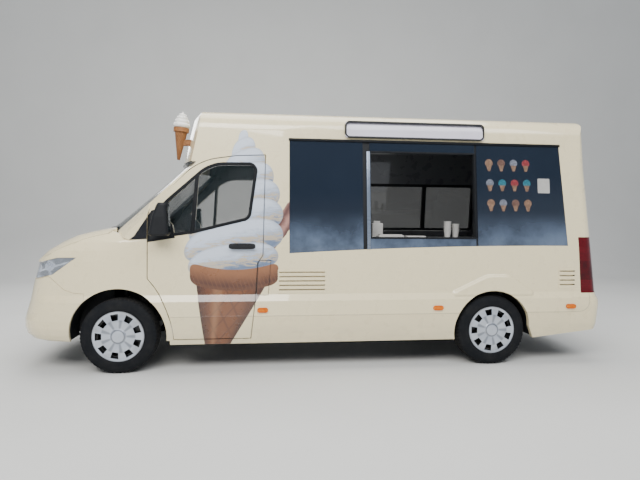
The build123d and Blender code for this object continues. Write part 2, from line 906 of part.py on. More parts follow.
# Height, place behind the front axle, length along the van, narrowing
mirror_rows = [
    (1308, 412, 150, 30),
    (1326, 410, 184, 6),
    (1480, 424, 142, 0),
    (1590, 441, 98, 14),
    (1610, 444, 80, 34),
]
with BuildPart() as mirror_left:
    for height, place, length, narrowing in mirror_rows:
        with BuildSketch(Plane.XY.offset(height)):
            with Locations((aft(place), (mirror_out + mirror_in) / 2)):
                RectangleRounded(length, mirror_out - mirror_in - narrowing, 38)
    loft(ruled=True)
    add(block(aft(440), aft(360), side_y(1340) + 1, mirror_in + 30, 1340, 1400))
    add(side_layer(polygon(mirror_foot_points), -10, -seat_gap))
save(mirror_left.part, "mirror_left")
save(across(mirror_left.part), "mirror_right")

# Serving hatch: black frame behind flush glass, the middle bay open between a header and a low band
hatch_bays = [(hatch_front, aft(2330)), (aft(2399), aft(3487)), (aft(3507), hatch_rear_low)]
bay_low, bay_high = 1296, 2140


def bay_opening(grow=0):
    """Open middle of the hatch."""
    front, rear = hatch_bays[1]
    return rectangle(front + grow, rear - grow, bay_low - grow, bay_high + grow)


far_outline = rectangle(far_front - 1, far_rear + 1, far_low + 1, far_high - 1, 59)
far_split = aft(3538)
with BuildPart() as window_frames:
    add(side_layer(hatch_outline(-1) - hatch_outline(-36), glass_thickness + seat_gap, wall + 4))
    for ahead, behind in zip(hatch_bays, hatch_bays[1:]):
        post = rectangle(ahead[1] + 12, behind[0] - 12, 1100, hatch_top) & hatch_outline(-1)
        add(side_layer(post, glass_thickness + seat_gap, wall + 4))
    for low, high in ((1100, bay_low), (bay_high, hatch_top)):
        band = rectangle(*hatch_bays[1], low, high) & hatch_outline(-1)
        add(side_layer(band, glass_thickness + seat_gap, wall + 4))
    far_ring = side_layer(
        far_outline - rectangle(far_front - 36, far_rear + 36, far_low + 36, far_high - 36, 30),
        glass_thickness + seat_gap,
        wall + 4,
    )
    bar = rectangle(far_split - 25, far_split + 25, far_low + 20, far_high - 20)
    far_bar = side_layer(bar, glass_thickness + seat_gap, wall + 4)
    add(across(far_ring))
    add(across(far_bar))
save(window_frames.part, "window_frames")

with BuildPart() as window_glass:
    for x0, x1 in (hatch_bays[0], hatch_bays[2]):
        pane = hatch_outline(-1) & rectangle(x0, x1, 1100, 2300)
        add(side_layer(pane, 0, glass_thickness))
    low_band = hatch_outline(-1) & rectangle(*hatch_bays[1], 1100, bay_low)
    high_band = hatch_outline(-1) & rectangle(*hatch_bays[1], bay_high, 2300)
    add(side_layer(low_band, 0, glass_thickness))
    add(side_layer(high_band, 0, glass_thickness))
    add(across(side_layer(far_outline, 0, glass_thickness)))
save(window_glass.part, "window_glass")

sign_board = side_layer(rectangle(aft(3583), aft(2152), 2281, 2444, 24), -28, -seat_gap)
save(sign_board, "sign_board")

# Lamps, markers, vents, fuel flap
with BuildPart() as tail_lamps:
    add(coach_full - coach_solid(25, 120))
    add(side_prism(polygon(tail_lamp_points), tail_lamp_inner + 1, half_width), mode=Mode.INTERSECT)
    mirror(about=Plane.XZ)
save(tail_lamps.part, "tail_lamps")

marker_places = (aft(1347), aft(3084), aft(4490))
with BuildPart() as side_markers:
    for place in marker_places:
        with BuildSketch() as marker_shape:
            with Locations((place, 597)):
                SlotOverall(104, 46)
        add(side_layer(marker_shape.sketch, -14, -seat_gap))
    mirror(about=Plane.XZ)
save(side_markers.part, "side_markers")

with BuildPart() as side_vents:
    for vent in vent_rows:
        rear, front, low, high, slots, pitch = vent
        add(side_layer(rectangle(rear, front, low, high, 14) - vent_slots(*vent), -vent_lift, -seat_gap))
        add(side_layer(vent_blades(*vent), -vent_lift - 5, -vent_lift + 0.5))
save(side_vents.part, "side_vents")

fuel_flap = side_layer(polygon(flap_outline_points), 0, flap_thickness)
save(fuel_flap, "fuel_flap")

with BuildPart() as pillar_trims:
    trim = [(aft(107), 1268), (aft(150), 1300), (door_front_top + 9, 1482), (door_front_top + 9, 1274)]
    add(side_layer(polygon(trim), -4, -seat_gap))
    mirror(about=Plane.XZ)
save(pillar_trims.part, "pillar_trims")

# Rear bumper: hollow cap round the tail below the rear wall
bumper_wall = 40
bumper_bow = 81
bumper_levels = [(240, 30), (407, 0), (600, 0), (655, 5), (bumper_top_rear - seat_gap, 22)]


def bumper_cap(inset, foot=0):
    """Solid under the skin of the rear bumper, drawn in by inset, its foot lowered."""
    with BuildPart() as cap:
        for height, reach in bumper_levels:
            level = height - foot if height == bumper_levels[0][0] else height
            with BuildSketch(Plane.XY.offset(level)):
                add(coach_outline(level, rear_x + reach, aft(-255), 207, inset, bumper_bow))
        loft(ruled=True)
    return cap.part


with BuildPart() as rear_bumper:
    add(bumper_cap(0))
    add(bumper_cap(bumper_wall, 20), mode=Mode.SUBTRACT)
    add(
        block(rear_x, rear_seam_x + 60 - seat_gap, -half_width, half_width, 150, bumper_top_rear),
        mode=Mode.INTERSECT,
    )
    tail_floor = polygon([*tail_line, (rear_x, 100), (aft(3665), 100)])
    add(side_prism(tail_floor, -half_width, half_width), mode=Mode.SUBTRACT)
save(rear_bumper.part, "rear_bumper")

# Floor, arches and chassis
floor_low, floor_top = 590, 640
with BuildPart() as floor:
    add(coach_solid(wall + 1, 120))
    add(block(rear_x, aft(490), -half_width, half_width, floor_low, floor_top), mode=Mode.INTERSECT)
    for side in (-1, 1):
        door_sill_y = side_y(floor_low) - door_thickness - panel_gap
        add(block(aft(1380), aft(400), side * door_sill_y, side * half_width, 0, 800), mode=Mode.SUBTRACT)
        arches = ((rear_axle_x, arch_radius_rear, 690), (front_axle_x, arch_radius_front, 560))
        for axle, radius, inner_y in arches:
            with BuildSketch(Plane.XZ.offset(-side * inner_y)):
                add(arch_cut(axle, radius + 14))
            extrude(amount=-side * 400, mode=Mode.SUBTRACT)
save(floor.part, "floor")

liner = 10
liner_inner_y = 690
axle_slot_half = 60
axle_slot_top = axle_z + 60
# Axle, inner radius, form that the liner is fitted to, cheek on the inner side, low edge
arch_table = [
    (front_axle_x, arch_radius_front + 2, nose_lining, 0, 318),
    (rear_axle_x, arch_radius_rear + 2, coach_solid(wall + seat_gap, 120), liner, 282),
]
arch_halves = []
for axle, radius, inner_form, cheek, low_edge in arch_table:
    with BuildPart() as arch_half:
        with BuildSketch(Plane.XZ.offset(-half_width)):
            add(arch_cut(axle, radius + liner) - arch_cut(axle, radius))
        extrude(amount=half_width - liner_inner_y)
        if cheek:
            with BuildSketch(Plane.XZ.offset(-liner_inner_y - cheek)):
                add(arch_cut(axle, radius + 1))
            extrude(amount=cheek)
            add(
                block(axle - axle_slot_half, axle + axle_slot_half, 0, half_width, 0, axle_slot_top),
                mode=Mode.SUBTRACT,
            )
        add(inner_form, mode=Mode.INTERSECT)
        add(block(rear_x, front_x, 0, half_width, -axle_z, low_edge), mode=Mode.SUBTRACT)
    arch_halves.append(arch_half.part)
with BuildPart() as arch_liners:
    for half in arch_halves:
        add(half)
    mirror(about=Plane.XZ)
save(arch_liners.part, "arch_liners")

rail_half = 415
front_member_x = aft(-840)
eye_y, eye_z, eye_radius, eye_depth = -300, 425, 10, 60
eye_face_x = front_member_x + 70
member_half = rail_half - 35 - seat_gap
with BuildPart() as chassis:
    for side in (-1, 1):
        y0 = side * rail_half - 35
        add(block(rear_x + 200, aft(490), y0, y0 + 70, 450, floor_low - seat_gap))
        add(block(aft(490), aft(-850), y0, y0 + 70, 420, 540))
        add(block(aft(540), aft(440), y0, y0 + 70, 420, floor_low - seat_gap))
    add(block(front_member_x - 40, front_member_x + 40, -member_half, member_half, 395, 480))
    for place in (aft(900), aft(2000), aft(3000), aft(4400)):
        add(block(place - 40, place + 40, -member_half, member_half, 460, 530))
    with BuildSketch(Plane.YZ.offset(front_member_x)):
        with Locations((eye_y, eye_z)):
            Circle(24)
    extrude(amount=eye_face_x - front_member_x)
    with BuildSketch(Plane.YZ.offset(eye_face_x)):
        with Locations((eye_y, eye_z)):
            Circle(eye_radius)
    extrude(amount=-eye_depth, mode=Mode.SUBTRACT)
save(chassis.part, "chassis")


# Wheels: rim, disc and the nine-windowed cover over it, revolved about the axle
disc_face = 40
rim_profile = [
    (195, -82),
    (216, -82),
    (216, -76),
    (rim_radius, -70),
    (rim_radius, 70),
    (216, 76),
    (216, 82),
    (195, 82),
]
disc_profile = [
    (0, disc_face),
    (100, disc_face),
    (120, 30),
    (197, 18),
    (197, 28),
    (125, 40),
    (104, 54),
    (0, 54),
]
cover_profile = [
    (0, 52),
    (62, 52),
    (66, 92),
    (140, 101),
    (205, 95),
    (222, 97),
    (238, 103),
    (238, 108),
    (224, 106),
    (210, 103),
    (142, 110),
    (74, 104),
    (66, 113),
    (50, 118),
    (0, 119),
]
tyre_side_profile = [(rim_radius + seat_gap, 69), (216.3, 74.6), (216.3, 79.7), (227, 79.7), (229, 94)]
window_inner_radius, window_outer_radius = 152, 212
window_inner_half, window_outer_half = 27, 37


def wheel_at(x, side):
    """Rim and cover, its outer face towards the given side."""
    plane = Plane((x, side * half_track, axle_z), x_dir=(1, 0, 0), z_dir=(0, side, 0))
    with BuildPart() as wheel:
        for profile in (rim_profile, disc_profile, cover_profile):
            with BuildSketch(Plane.XZ):
                with BuildLine():
                    Polyline(*profile, profile[0])
                make_face()
            revolve(axis=Axis.Z)
        with BuildSketch(Plane.XY.offset(75)):
            with PolarLocations((window_inner_radius + window_outer_radius) / 2, wheel_windows):
                depth = (window_outer_radius - window_inner_radius) / 2
                Polygon(
                    (-depth, -window_inner_half),
                    (depth, -window_outer_half),
                    (depth, window_outer_half),
                    (-depth, window_inner_half),
                    align=None,
                )
        extrude(amount=60, mode=Mode.SUBTRACT)
    return plane.location * wheel.part


def tyre_at(x, side):
    """Tyre with rounded shoulders and a flat tread."""
    half = tyre_width / 2
    with BuildPart() as tyre:
        with BuildSketch(Plane.XZ):
            with BuildLine():
                Polyline(*tyre_side_profile)
                wall_arc = ThreePointArc(tyre_side_profile[-1], (282, half), (322, half - 3))
                ThreePointArc(wall_arc @ 1, (346, half - 13), (tyre_radius, half - 33))
                Line((tyre_radius, half - 33), (tyre_radius, 0))
                Line((rim_radius + seat_gap, 0), tyre_side_profile[0])
                mirror(about=Plane.XZ)
            make_face()
        revolve(axis=Axis.Z)
    plane = Plane((x, side * half_track, axle_z), x_dir=(1, 0, 0), z_dir=(0, side, 0))
    return plane.location * tyre.part


corners = [
    ("front_left", front_axle_x, 1),
    ("front_right", front_axle_x, -1),
    ("rear_left", rear_axle_x, 1),
    ("rear_right", rear_axle_x, -1),
]
for corner_name, corner_x, side in corners:
    save(wheel_at(corner_x, side), "wheel_" + corner_name)
    save(tyre_at(corner_x, side), "tyre_" + corner_name)

# Knuckles: upright, hub and brake disc on the steering axis
kingpin_y = 735
hub_face_y = half_track + disc_face - seat_gap
upright_low, upright_high = axle_z - 120, axle_z + 130
with BuildPart() as knuckle_left:
    with BuildSketch(Plane((front_axle_x, kingpin_y, upright_low))):
        Circle(42)
    extrude(amount=upright_high - upright_low)
    with BuildSketch(Plane((front_axle_x, kingpin_y, axle_z), x_dir=(1, 0, 0), z_dir=(0, 1, 0))):
        Circle(70)
    extrude(amount=hub_face_y - kingpin_y)
    with BuildSketch(Plane((front_axle_x, 806, axle_z), x_dir=(1, 0, 0), z_dir=(0, 1, 0))):
        Circle(150)
    extrude(amount=24)
    add(block(front_axle_x - 160, front_axle_x - 30, kingpin_y - 45, kingpin_y - 15, 290, 320))
save(knuckle_left.part, "knuckle_left")
save(across(knuckle_left.part), "knuckle_right")

with BuildPart() as front_subframe:
    add(block(front_axle_x - 150, front_axle_x + 150, -380, 380, 205, 290))
    for side in (-1, 1):
        with BuildSketch(Plane.XY.offset(205)):
            with BuildLine():
                Polyline(
                    (front_axle_x - 140, side * 360),
                    (front_axle_x + 140, side * 360),
                    (front_axle_x + 34, side * (kingpin_y + 30)),
                    (front_axle_x - 34, side * (kingpin_y + 30)),
                    (front_axle_x - 140, side * 360),
                )
            make_face()
        extrude(amount=upright_low - seat_gap - 205)
        foot = Vector(front_axle_x, side * 704, upright_high + seat_gap + 6)
        top = Vector(front_axle_x, side * 640, 900)
        with BuildSketch(Plane(foot, z_dir=top - foot)):
            Circle(26)
        extrude(amount=(top - foot).length)
        add(block(front_axle_x - 60, front_axle_x + 60, side * 380, side * 680, 892, 930))
        add(block(front_axle_x - 60, front_axle_x + 60, side * 340, side * 400, 280, 419.7))
        add(block(front_axle_x - 60, front_axle_x + 60, side * 381, side * 449, 540.3, 900))
    with BuildSketch(Plane.XZ.offset(-560)):
        with Locations((front_axle_x - 180, 305)):
            Circle(22)
    extrude(amount=1120)
    add(block(front_axle_x - 200, front_axle_x - 130, -300, 300, 280, 325))
save(front_subframe.part, "front_subframe")

spring_reach = 640
with BuildPart() as rear_axle:
    with BuildSketch(Plane.XZ.offset(-700)):
        with Locations((rear_axle_x, axle_z)):
            Circle(46)
    extrude(amount=1400)
    with Locations((rear_axle_x, 0, axle_z)):
        Sphere(135)
    for side in (-1, 1):
        drum_plane = Plane((rear_axle_x, side * 700, axle_z), x_dir=(1, 0, 0), z_dir=(0, side, 0))
        with BuildSketch(drum_plane):
            Circle(150)
        extrude(amount=130)
        with BuildSketch(drum_plane):
            Circle(70)
        extrude(amount=hub_face_y - 700)
        with BuildSketch(Plane.XZ.offset(-side * rail_half + 35)):
            with BuildLine():
                eye_rear, eye_front = rear_axle_x - spring_reach, rear_axle_x + spring_reach
                low = ThreePointArc((eye_rear, 440), (rear_axle_x, axle_z + 30), (eye_front, 440))
                high = ThreePointArc((eye_rear, 449.7), (rear_axle_x, axle_z + 66), (eye_front, 449.7))
                Line(low @ 0, high @ 0)
                Line(low @ 1, high @ 1)
            make_face()
        extrude(amount=70)
save(rear_axle.part, "rear_axle")

# Power unit, tank and exhaust
with BuildPart() as engine:
    add(block(aft(40), aft(-640), -290, 290, 545, 1080))
    for side in (-1, 1):
        add(block(aft(-210), aft(-290), side * 289, side * (rail_half + 20), 540 + seat_gap, 600))
save(engine.part, "engine")
fuel_tank = block(aft(1500), aft(700), 470, 800, 330, floor_low - seat_gap)
save(fuel_tank, "fuel_tank")
with BuildPart() as exhaust:
    exhaust_z = 368
    with BuildLine() as exhaust_line:
        FilletPolyline(
            (aft(60), -180, 520),
            (aft(350), -200, exhaust_z),
            (aft(900), -250, exhaust_z),
            (aft(2600), -250, exhaust_z),
            (aft(2850), -560, exhaust_z),
            (aft(2940), -850, exhaust_z - 50),
            radius=60,
        )
    with BuildSketch(Plane(exhaust_line.line @ 0, z_dir=exhaust_line.line % 0)):
        Circle(32)
    sweep()
    with BuildSketch(Plane.YZ.offset(aft(2100))):
        with Locations((-250, exhaust_z)):
            RectangleRounded(230, 170, 60)
    extrude(amount=600)
    for place in (aft(900), aft(2000)):
        add(block(place - 20, place + 20, -280, -220, exhaust_z + 10, 460 - seat_gap))
save(exhaust.part, "exhaust")

# Cab inside
seat_places = (430, -430)
with BuildPart() as seats:
    for place in seat_places:
        add(block(aft(1260), aft(820), place - 200, place + 200, floor_top + seat_gap, 830))
        with BuildSketch(Plane.XZ.offset(-place - 250)):
            with BuildLine():
                Polyline(
                    (aft(1290), 830),
                    (aft(740), 830),
                    (aft(730), 950),
                    (aft(1180), 960),
                    (aft(1320), 1500),
                    (aft(1420), 1500),
                    (aft(1290), 830),
                )
            make_face()
        extrude(amount=500)
        add(block(aft(1425), aft(1345), place - 130, place + 130, 1520, 1700))
        add(block(aft(1400), aft(1370), place - 70, place - 50, 1490, 1530))
        add(block(aft(1400), aft(1370), place + 50, place + 70, 1490, 1530))
save(seats.part, "seats")

dash_half = 825
with BuildPart() as dashboard:
    with BuildSketch(Plane.XZ.offset(-dash_half)):
        with BuildLine():
            Polyline(
                (bulkhead_x - seat_gap, 850),
                (aft(400), 850),
                (aft(470), 930),
                (aft(490), 1100),
                (aft(470), 1230),
                (aft(330), 1330),
                (aft(60), 1300),
                (aft(60), cowl_z + 10 + seat_gap),
                (bulkhead_x - seat_gap, cowl_z + 10 + seat_gap),
                (bulkhead_x - seat_gap, 850),
            )
        make_face()
    extrude(amount=2 * dash_half)
save(dashboard.part, "dashboard")

wheel_centre = Vector(aft(690), -430, 1190)
wheel_normal = Vector(-0.7, 0, 0.714)
with BuildPart() as steering_wheel:
    with Locations(Plane(wheel_centre, z_dir=wheel_normal)):
        Torus(195, 15)
        Cylinder(55, 36)
        with PolarLocations(0, 3):
            with Locations((100, 0, 0)):
                Box(170, 34, 14)
    column = Plane(wheel_centre, z_dir=-wheel_normal)
    with BuildSketch(column):
        Circle(32)
    extrude(amount=310)
    add(dashboard.part, mode=Mode.SUBTRACT)
save(steering_wheel.part, "steering_wheel")

# Serving counter along the hatch, with a lower worktop along the far wall
counter_z = 1285
worktop_z = 1250
top_thickness = 35
with BuildPart() as counter:
    add(block(aft(4440), aft(1640), 480, 896, counter_z - top_thickness, counter_z))
    add(block(aft(4400), aft(1680), 520, 880, floor_top + seat_gap, counter_z - top_thickness))
    add(block(aft(4440), aft(1900), -896, -480, worktop_z - top_thickness, worktop_z))
    add(block(aft(4400), aft(1940), -880, -520, floor_top + seat_gap, worktop_z - top_thickness))
    with BuildSketch(Plane.XZ.offset(half_width)):
        add(arch_cut(rear_axle_x, arch_radius_rear + 14))
    extrude(amount=-2 * half_width, mode=Mode.SUBTRACT)
save(counter.part, "counter")

with BuildPart() as machine:
    add(block(aft(4560), aft(4120), -180, 330, floor_top + seat_gap, 1560))
    add(block(aft(4560), aft(4180), -160, 310, 1560, 1660))
save(machine.part, "machine")

# Ornamental cones in front of the roof pod
cone_y = 620
cone_tip = Vector(aft(499), 0, 2058)
cone_top = Vector(aft(545), 0, 2535)
cone_mouth = 68
wafer_length = 318


def cone_axis_plane(side, distance):
    """Plane across a cone's axis, a distance up from its tip."""
    axis = (cone_top - cone_tip).normalized()
    return Plane(cone_tip + Vector(0, side * cone_y, 0) + axis * distance, x_dir=(0, 1, 0), z_dir=axis)


swirl_rings = [(27, 70, 26), (64, 58, 24), (98, 44, 21), (127, 29, 17)]
with BuildPart() as cone_wafers:
    for side in (-1, 1):
        with BuildSketch(cone_axis_plane(side, 0)):
            Circle(14)
        with BuildSketch(cone_axis_plane(side, wafer_length)):
            Circle(cone_mouth)
        loft()
        with BuildSketch(cone_axis_plane(side, wafer_length - 40)):
            Circle(cone_mouth + 8)
        extrude(amount=40)
        add(block(aft(640), aft(545), side * cone_y - 20, side * cone_y + 20, 2200, 2260))
    add(coach_full, mode=Mode.SUBTRACT)
save(cone_wafers.part, "cone_wafers")

with BuildPart() as cone_swirls:
    for side in (-1, 1):
        for height, radius, thick in swirl_rings:
            with Locations(cone_axis_plane(side, wafer_length + height)):
                Torus(radius - thick / 2, thick)
                Cylinder(radius - thick / 2, 30)
        with BuildSketch(cone_axis_plane(side, wafer_length + seat_gap)):
            Circle(60)
        extrude(amount=40)
        with BuildSketch(cone_axis_plane(side, wafer_length + 130)):
            Circle(22)
        with BuildSketch(cone_axis_plane(side, wafer_length + 165)):
            Circle(4)
        loft()
save(cone_swirls.part, "cone_swirls")
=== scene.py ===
import bpy
import bmesh
import math
from mathutils import Matrix, Vector, noise
from mathutils.bvhtree import BVHTree


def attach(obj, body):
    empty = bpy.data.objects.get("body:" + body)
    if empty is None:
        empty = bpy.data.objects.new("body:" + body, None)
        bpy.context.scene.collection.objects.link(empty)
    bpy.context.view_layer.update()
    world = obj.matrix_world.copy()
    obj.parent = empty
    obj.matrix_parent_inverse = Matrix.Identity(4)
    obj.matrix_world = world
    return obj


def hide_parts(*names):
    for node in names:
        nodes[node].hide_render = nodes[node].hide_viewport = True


# Looks of the ice cream van, in metres: x forward, left side +y, ground at z 0, as in the CAD
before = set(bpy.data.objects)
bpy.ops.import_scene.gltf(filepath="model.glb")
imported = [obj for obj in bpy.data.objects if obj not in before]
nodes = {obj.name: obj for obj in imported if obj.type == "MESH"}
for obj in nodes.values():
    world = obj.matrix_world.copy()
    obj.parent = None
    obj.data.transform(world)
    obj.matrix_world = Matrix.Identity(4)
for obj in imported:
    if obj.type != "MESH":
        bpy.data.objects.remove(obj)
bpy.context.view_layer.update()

# x of the axles, height of the wheel centres, and half the track
AXLE_F, AXLE_R, AXLE_Z, TRACK = 1.962, -1.703, 0.356, 0.858
SIDES = {"left": 1, "right": -1}
CORNERS = [("front", AXLE_F), ("rear", AXLE_R)]

# Half width of the body, and the height where it has it
SIDE_POINTS = [
    (0.950, 0.265), (1.005, 0.535), (1.010, 0.683), (0.985, 0.745), (0.968, 1.200),
    (0.870, 2.150), (0.852, 2.335),
]


def aft(mm):
    """x from a distance in mm behind the front axle."""
    return AXLE_F - mm / 1000


def side_y(z):
    """Half width of the body at a height."""
    below = SIDE_POINTS[0]
    for point in SIDE_POINTS[1:]:
        if z <= point[1]:
            share = (z - below[1]) / (point[1] - below[1])
            return below[0] + share * (point[0] - below[0])
        below = point
    return below[0]


# Shader building: small wrappers, so that paint patterns read as formulas

RANGE = ("Value", "From Min", "From Max", "To Min", "To Max")


def add_node(tree, kind, inputs, **settings):
    """New node; an input that is given a socket is linked to it, any other value is set."""
    node = tree.nodes.new(kind)
    for name, value in settings.items():
        setattr(node, name, value)
    for name, value in inputs.items():
        if isinstance(value, bpy.types.NodeSocket):
            tree.links.new(value, node.inputs[name])
        else:
            node.inputs[name].default_value = value
    return node


class Field:
    """A number at each point of a surface, as a shader socket."""

    def __init__(self, tree, socket):
        self.tree, self.socket = tree, socket

    def op(self, kind, *others):
        values = [v.socket if isinstance(v, Field) else v for v in (self, *others)]
        node = add_node(self.tree, "ShaderNodeMath", dict(enumerate(values)), operation=kind)
        return Field(self.tree, node.outputs[0])

    def __add__(self, other): return self.op("ADD", other)
    def __sub__(self, other): return self.op("SUBTRACT", other)
    def __mul__(self, other): return self.op("MULTIPLY", other)
    def __truediv__(self, other): return self.op("DIVIDE", other)
    def __neg__(self): return self * -1.0
    def abs(self): return self.op("ABSOLUTE")
    def sin(self): return self.op("SINE")
    def sqrt(self): return self.op("SQRT")
    def max(self, other): return self.op("MAXIMUM", other)
    def power(self, other): return self.op("POWER", other)
    def angle(self, across): return self.op("ARCTAN2", across)

    def step(self, low, high):
        """0 below low, 1 above high, smooth between; low may be the larger."""
        ends = (low, high, 0.0, 1.0) if low <= high else (high, low, 1.0, 0.0)
        node = add_node(self.tree, "ShaderNodeMapRange", dict(zip(RANGE, (self.socket, *ends))),
                        interpolation_type="SMOOTHSTEP")
        return Field(self.tree, node.outputs[0])

    def near(self, centre, outer, inner):
        """1 within inner of the centre, 0 beyond outer."""
        return (self - centre).abs().step(outer, inner)

    def comb(self):
        """0 in the middle of each whole unit, 0.5 at its ends."""
        return (self.op("FRACT") - 0.5).abs()

    def wave(self):
        """Sine between 0 and 1."""
        return (self.sin() * 0.5) + 0.5


def length(a, b):
    return (a * a + b * b).sqrt()


def fourth(a):
    return a * a * a * a


class Paint:
    """A Principled material under construction."""

    def __init__(self, name, color, rough=0.5, metal=0.0, coat=0.0, coat_rough=0.03, spec=0.5,
                 alpha=1.0, sheen=0.0):
        self.mat = bpy.data.materials.new(name)
        self.mat.use_nodes = True
        self.tree = self.mat.node_tree
        self.bsdf = self.tree.nodes["Principled BSDF"]
        for socket, value in (("Base Color", (*color, 1)), ("Roughness", rough),
                              ("Metallic", metal), ("Coat Weight", coat),
                              ("Coat Roughness", coat_rough), ("Specular IOR Level", spec),
                              ("IOR", 1.5), ("Alpha", alpha), ("Sheen Weight", sheen)):
            self.bsdf.inputs[socket].default_value = value
        self.color, self.shade, self.height = color, color, None
        coords = self.tree.nodes.new("ShaderNodeTexCoord").outputs
        self.object = coords["Object"]
        self.x, self.y, self.z = self.split(self.object)
        self.nx, self.ny, self.nz = self.split(coords["Normal"])

    def split(self, socket):
        parts = add_node(self.tree, "ShaderNodeSeparateXYZ", {0: socket}).outputs
        return [Field(self.tree, part) for part in parts]

    def feed(self, name, socket):
        """Lets a socket drive one of the material's inputs."""
        self.tree.links.new(socket, self.bsdf.inputs[name])
        return self

    def noise(self, scale, detail=3.0, rough=0.5, stretch=None, distort=0.0):
        source = self.object
        if stretch:
            source = add_node(self.tree, "ShaderNodeMapping",
                              {"Scale": stretch, "Vector": source}).outputs[0]
        node = add_node(self.tree, "ShaderNodeTexNoise",
                        {"Scale": scale, "Detail": detail, "Roughness": rough,
                         "Distortion": distort, "Vector": source})
        return Field(self.tree, node.outputs["Fac"])

    def voronoi(self, scale):
        node = add_node(self.tree, "ShaderNodeTexVoronoi",
                        {"Scale": scale, "Vector": self.object})
        return Field(self.tree, node.outputs["Distance"])

    def ramp(self, field, low, high):
        """Socket of a colour that runs from low to high with the field."""
        low, high = ((*end, 1) if isinstance(end, tuple) else end for end in (low, high))
        node = add_node(self.tree, "ShaderNodeMix",
                        {"Factor": field.socket, "A": low, "B": high}, data_type="RGBA")
        return node.outputs["Result"]

    def mix(self, field, color):
        """Lays a colour over what is there, as strongly as the field says."""
        self.shade = self.ramp(field, self.shade, color)
        return self.feed("Base Color", self.shade)

    def vary(self, amount, scale):
        """Slight cloudiness of the colour."""
        dark = tuple(c * (1 - amount) for c in self.color)
        return self.mix(self.noise(scale, 5.0).step(0.35, 0.75), dark)

    def rough(self, low, high, scale, stretch=None):
        """Uneven gloss between two roughnesses."""
        values = (self.noise(scale, 4.0, stretch=stretch).socket, 0.3, 0.7, low, high)
        node = add_node(self.tree, "ShaderNodeMapRange", dict(zip(RANGE, values)))
        return self.feed("Roughness", node.outputs[0])

    def bump(self, field, strength, distance):
        """Adds relief to what is there; distance is its height in metres."""
        inputs = {"Strength": strength, "Distance": distance, "Height": field.socket}
        if self.height is not None:
            inputs["Normal"] = self.height
        self.height = add_node(self.tree, "ShaderNodeBump", inputs).outputs[0]
        return self.feed("Normal", self.height)

    def inside(self):
        """1 on the inner faces of the coach's panels."""
        wall = (self.ny * self.y).step(-0.15, -0.30)
        ceiling = self.nz.step(-0.5, -0.7) * self.z.step(1.9, 1.95)
        tail = self.nx.step(0.5, 0.7) * self.x.step(-2.4, -2.5)
        return wall.max(ceiling).max(tail)


# Painted panels

CREAM = (0.80, 0.695, 0.445)
ROAD_FILM = (0.47, 0.41, 0.30)
BORDER_SHADE = (0.33, 0.27, 0.17)
# colour of the painted shade in the pocket behind the door handle
POCKET_SHADE = (0.010, 0.010, 0.011)
# colour of the painted shade on the inner faces of the coach
INSIDE_SHADE = (0.125, 0.13, 0.14)


def border_line(p):
    """1 on the pressed line along the lower side, which turns up to the tail lamp behind."""
    line_z, bend_x, bend_radius, foot_z = 0.540, aft(4596), 0.100, 0.735
    wide = (0.0065, 0.0015)
    level = p.z.near(line_z, *wide) * p.x.step(-2.635, -2.634) * p.x.step(1.50, 1.45)
    back, up = -p.x + bend_x, p.z - (line_z + bend_radius)
    bend = length(back, up).near(bend_radius, *wide)
    bend = bend * back.step(0.0, 0.001) * up.step(0.0, -0.001)
    rise = back.near(bend_radius, *wide) * up.step(-0.001, 0.0) * p.z.step(foot_z, foot_z - 0.005)
    return level.max(bend).max(rise) * p.y.abs().step(0.80, 0.85)


def body_paint(name):
    """Cream two-pack paint with orange peel, and a thin road film low on the sides."""
    p = Paint(name, CREAM, rough=0.30, coat=1.0)
    p.vary(0.03, 2.2)
    film = p.noise(4.0, 6.0, 0.6, stretch=(1.0, 1.0, 2.5)) * p.z.step(0.60, 0.28)
    p.mix(film.step(0.10, 0.70) * 0.35, ROAD_FILM)
    p.rough(0.24, 0.36, 9.0)
    p.bump(p.noise(420.0, 2.0), 0.03, 0.0006)
    border = border_line(p)
    p.mix(border * 0.50, BORDER_SHADE)
    p.bump(border, 0.6, 0.003)
    return p


def handle_pocket_shade(p):
    """Painted shade: the pocket behind the door handle darkened to near black."""
    across, up = (p.x - aft(1150)) / 0.128, (p.z - 1.206) / 0.030
    pocket = (fourth(across) + fourth(up)).step(1.05, 0.92) * p.y.abs().step(0.85, 0.90)
    # painted shade in the handle's recess, laid over the door's paint
    return p.mix(pocket, POCKET_SHADE)


def shaded_inside(p):
    """Painted shade: the inner faces of a painted panel darkened to grey, as the unlit inside of
    the coach.
    """
    return p.mix(p.inside(), INSIDE_SHADE).mat


# Turns of soft ice from the tip down: height, distance behind the front axle, half width,
# half height and tilt of each
ICE_TURNS = [
    (2.235, 1.157, 0.050, 0.085, 0.30), (2.125, 1.160, 0.115, 0.115, 0.34),
    (1.985, 1.165, 0.200, 0.140, 0.34), (1.820, 1.150, 0.300, 0.155, 0.30),
    (1.640, 1.125, 0.385, 0.165, 0.26), (1.450, 1.095, 0.445, 0.170, 0.22),
    (1.265, 1.075, 0.465, 0.165, 0.18), (1.085, 1.070, 0.425, 0.130, 0.12),
]
STICK_DARK, STICK_LIGHT = (0.10, 0.042, 0.036), (0.36, 0.19, 0.155)
ICE_SHADOW, ICE_LIGHT = (0.12, 0.165, 0.26), (0.56, 0.62, 0.72)
ICE_CREAM, ICE_RIM = (0.56, 0.44, 0.26), (0.30, 0.33, 0.38)
CUP_MIDDLE, CUP_EDGE = (0.165, 0.054, 0.016), (0.048, 0.014, 0.006)
CUP_LINE, CUP_SHINE = (0.09, 0.030, 0.012), (0.46, 0.25, 0.12)
LIP_LOW, LIP_HIGH = (0.065, 0.020, 0.008), (0.250, 0.100, 0.038)
LIP_RIB, LIP_SHADOW = (0.24, 0.10, 0.04), (0.13, 0.05, 0.02)


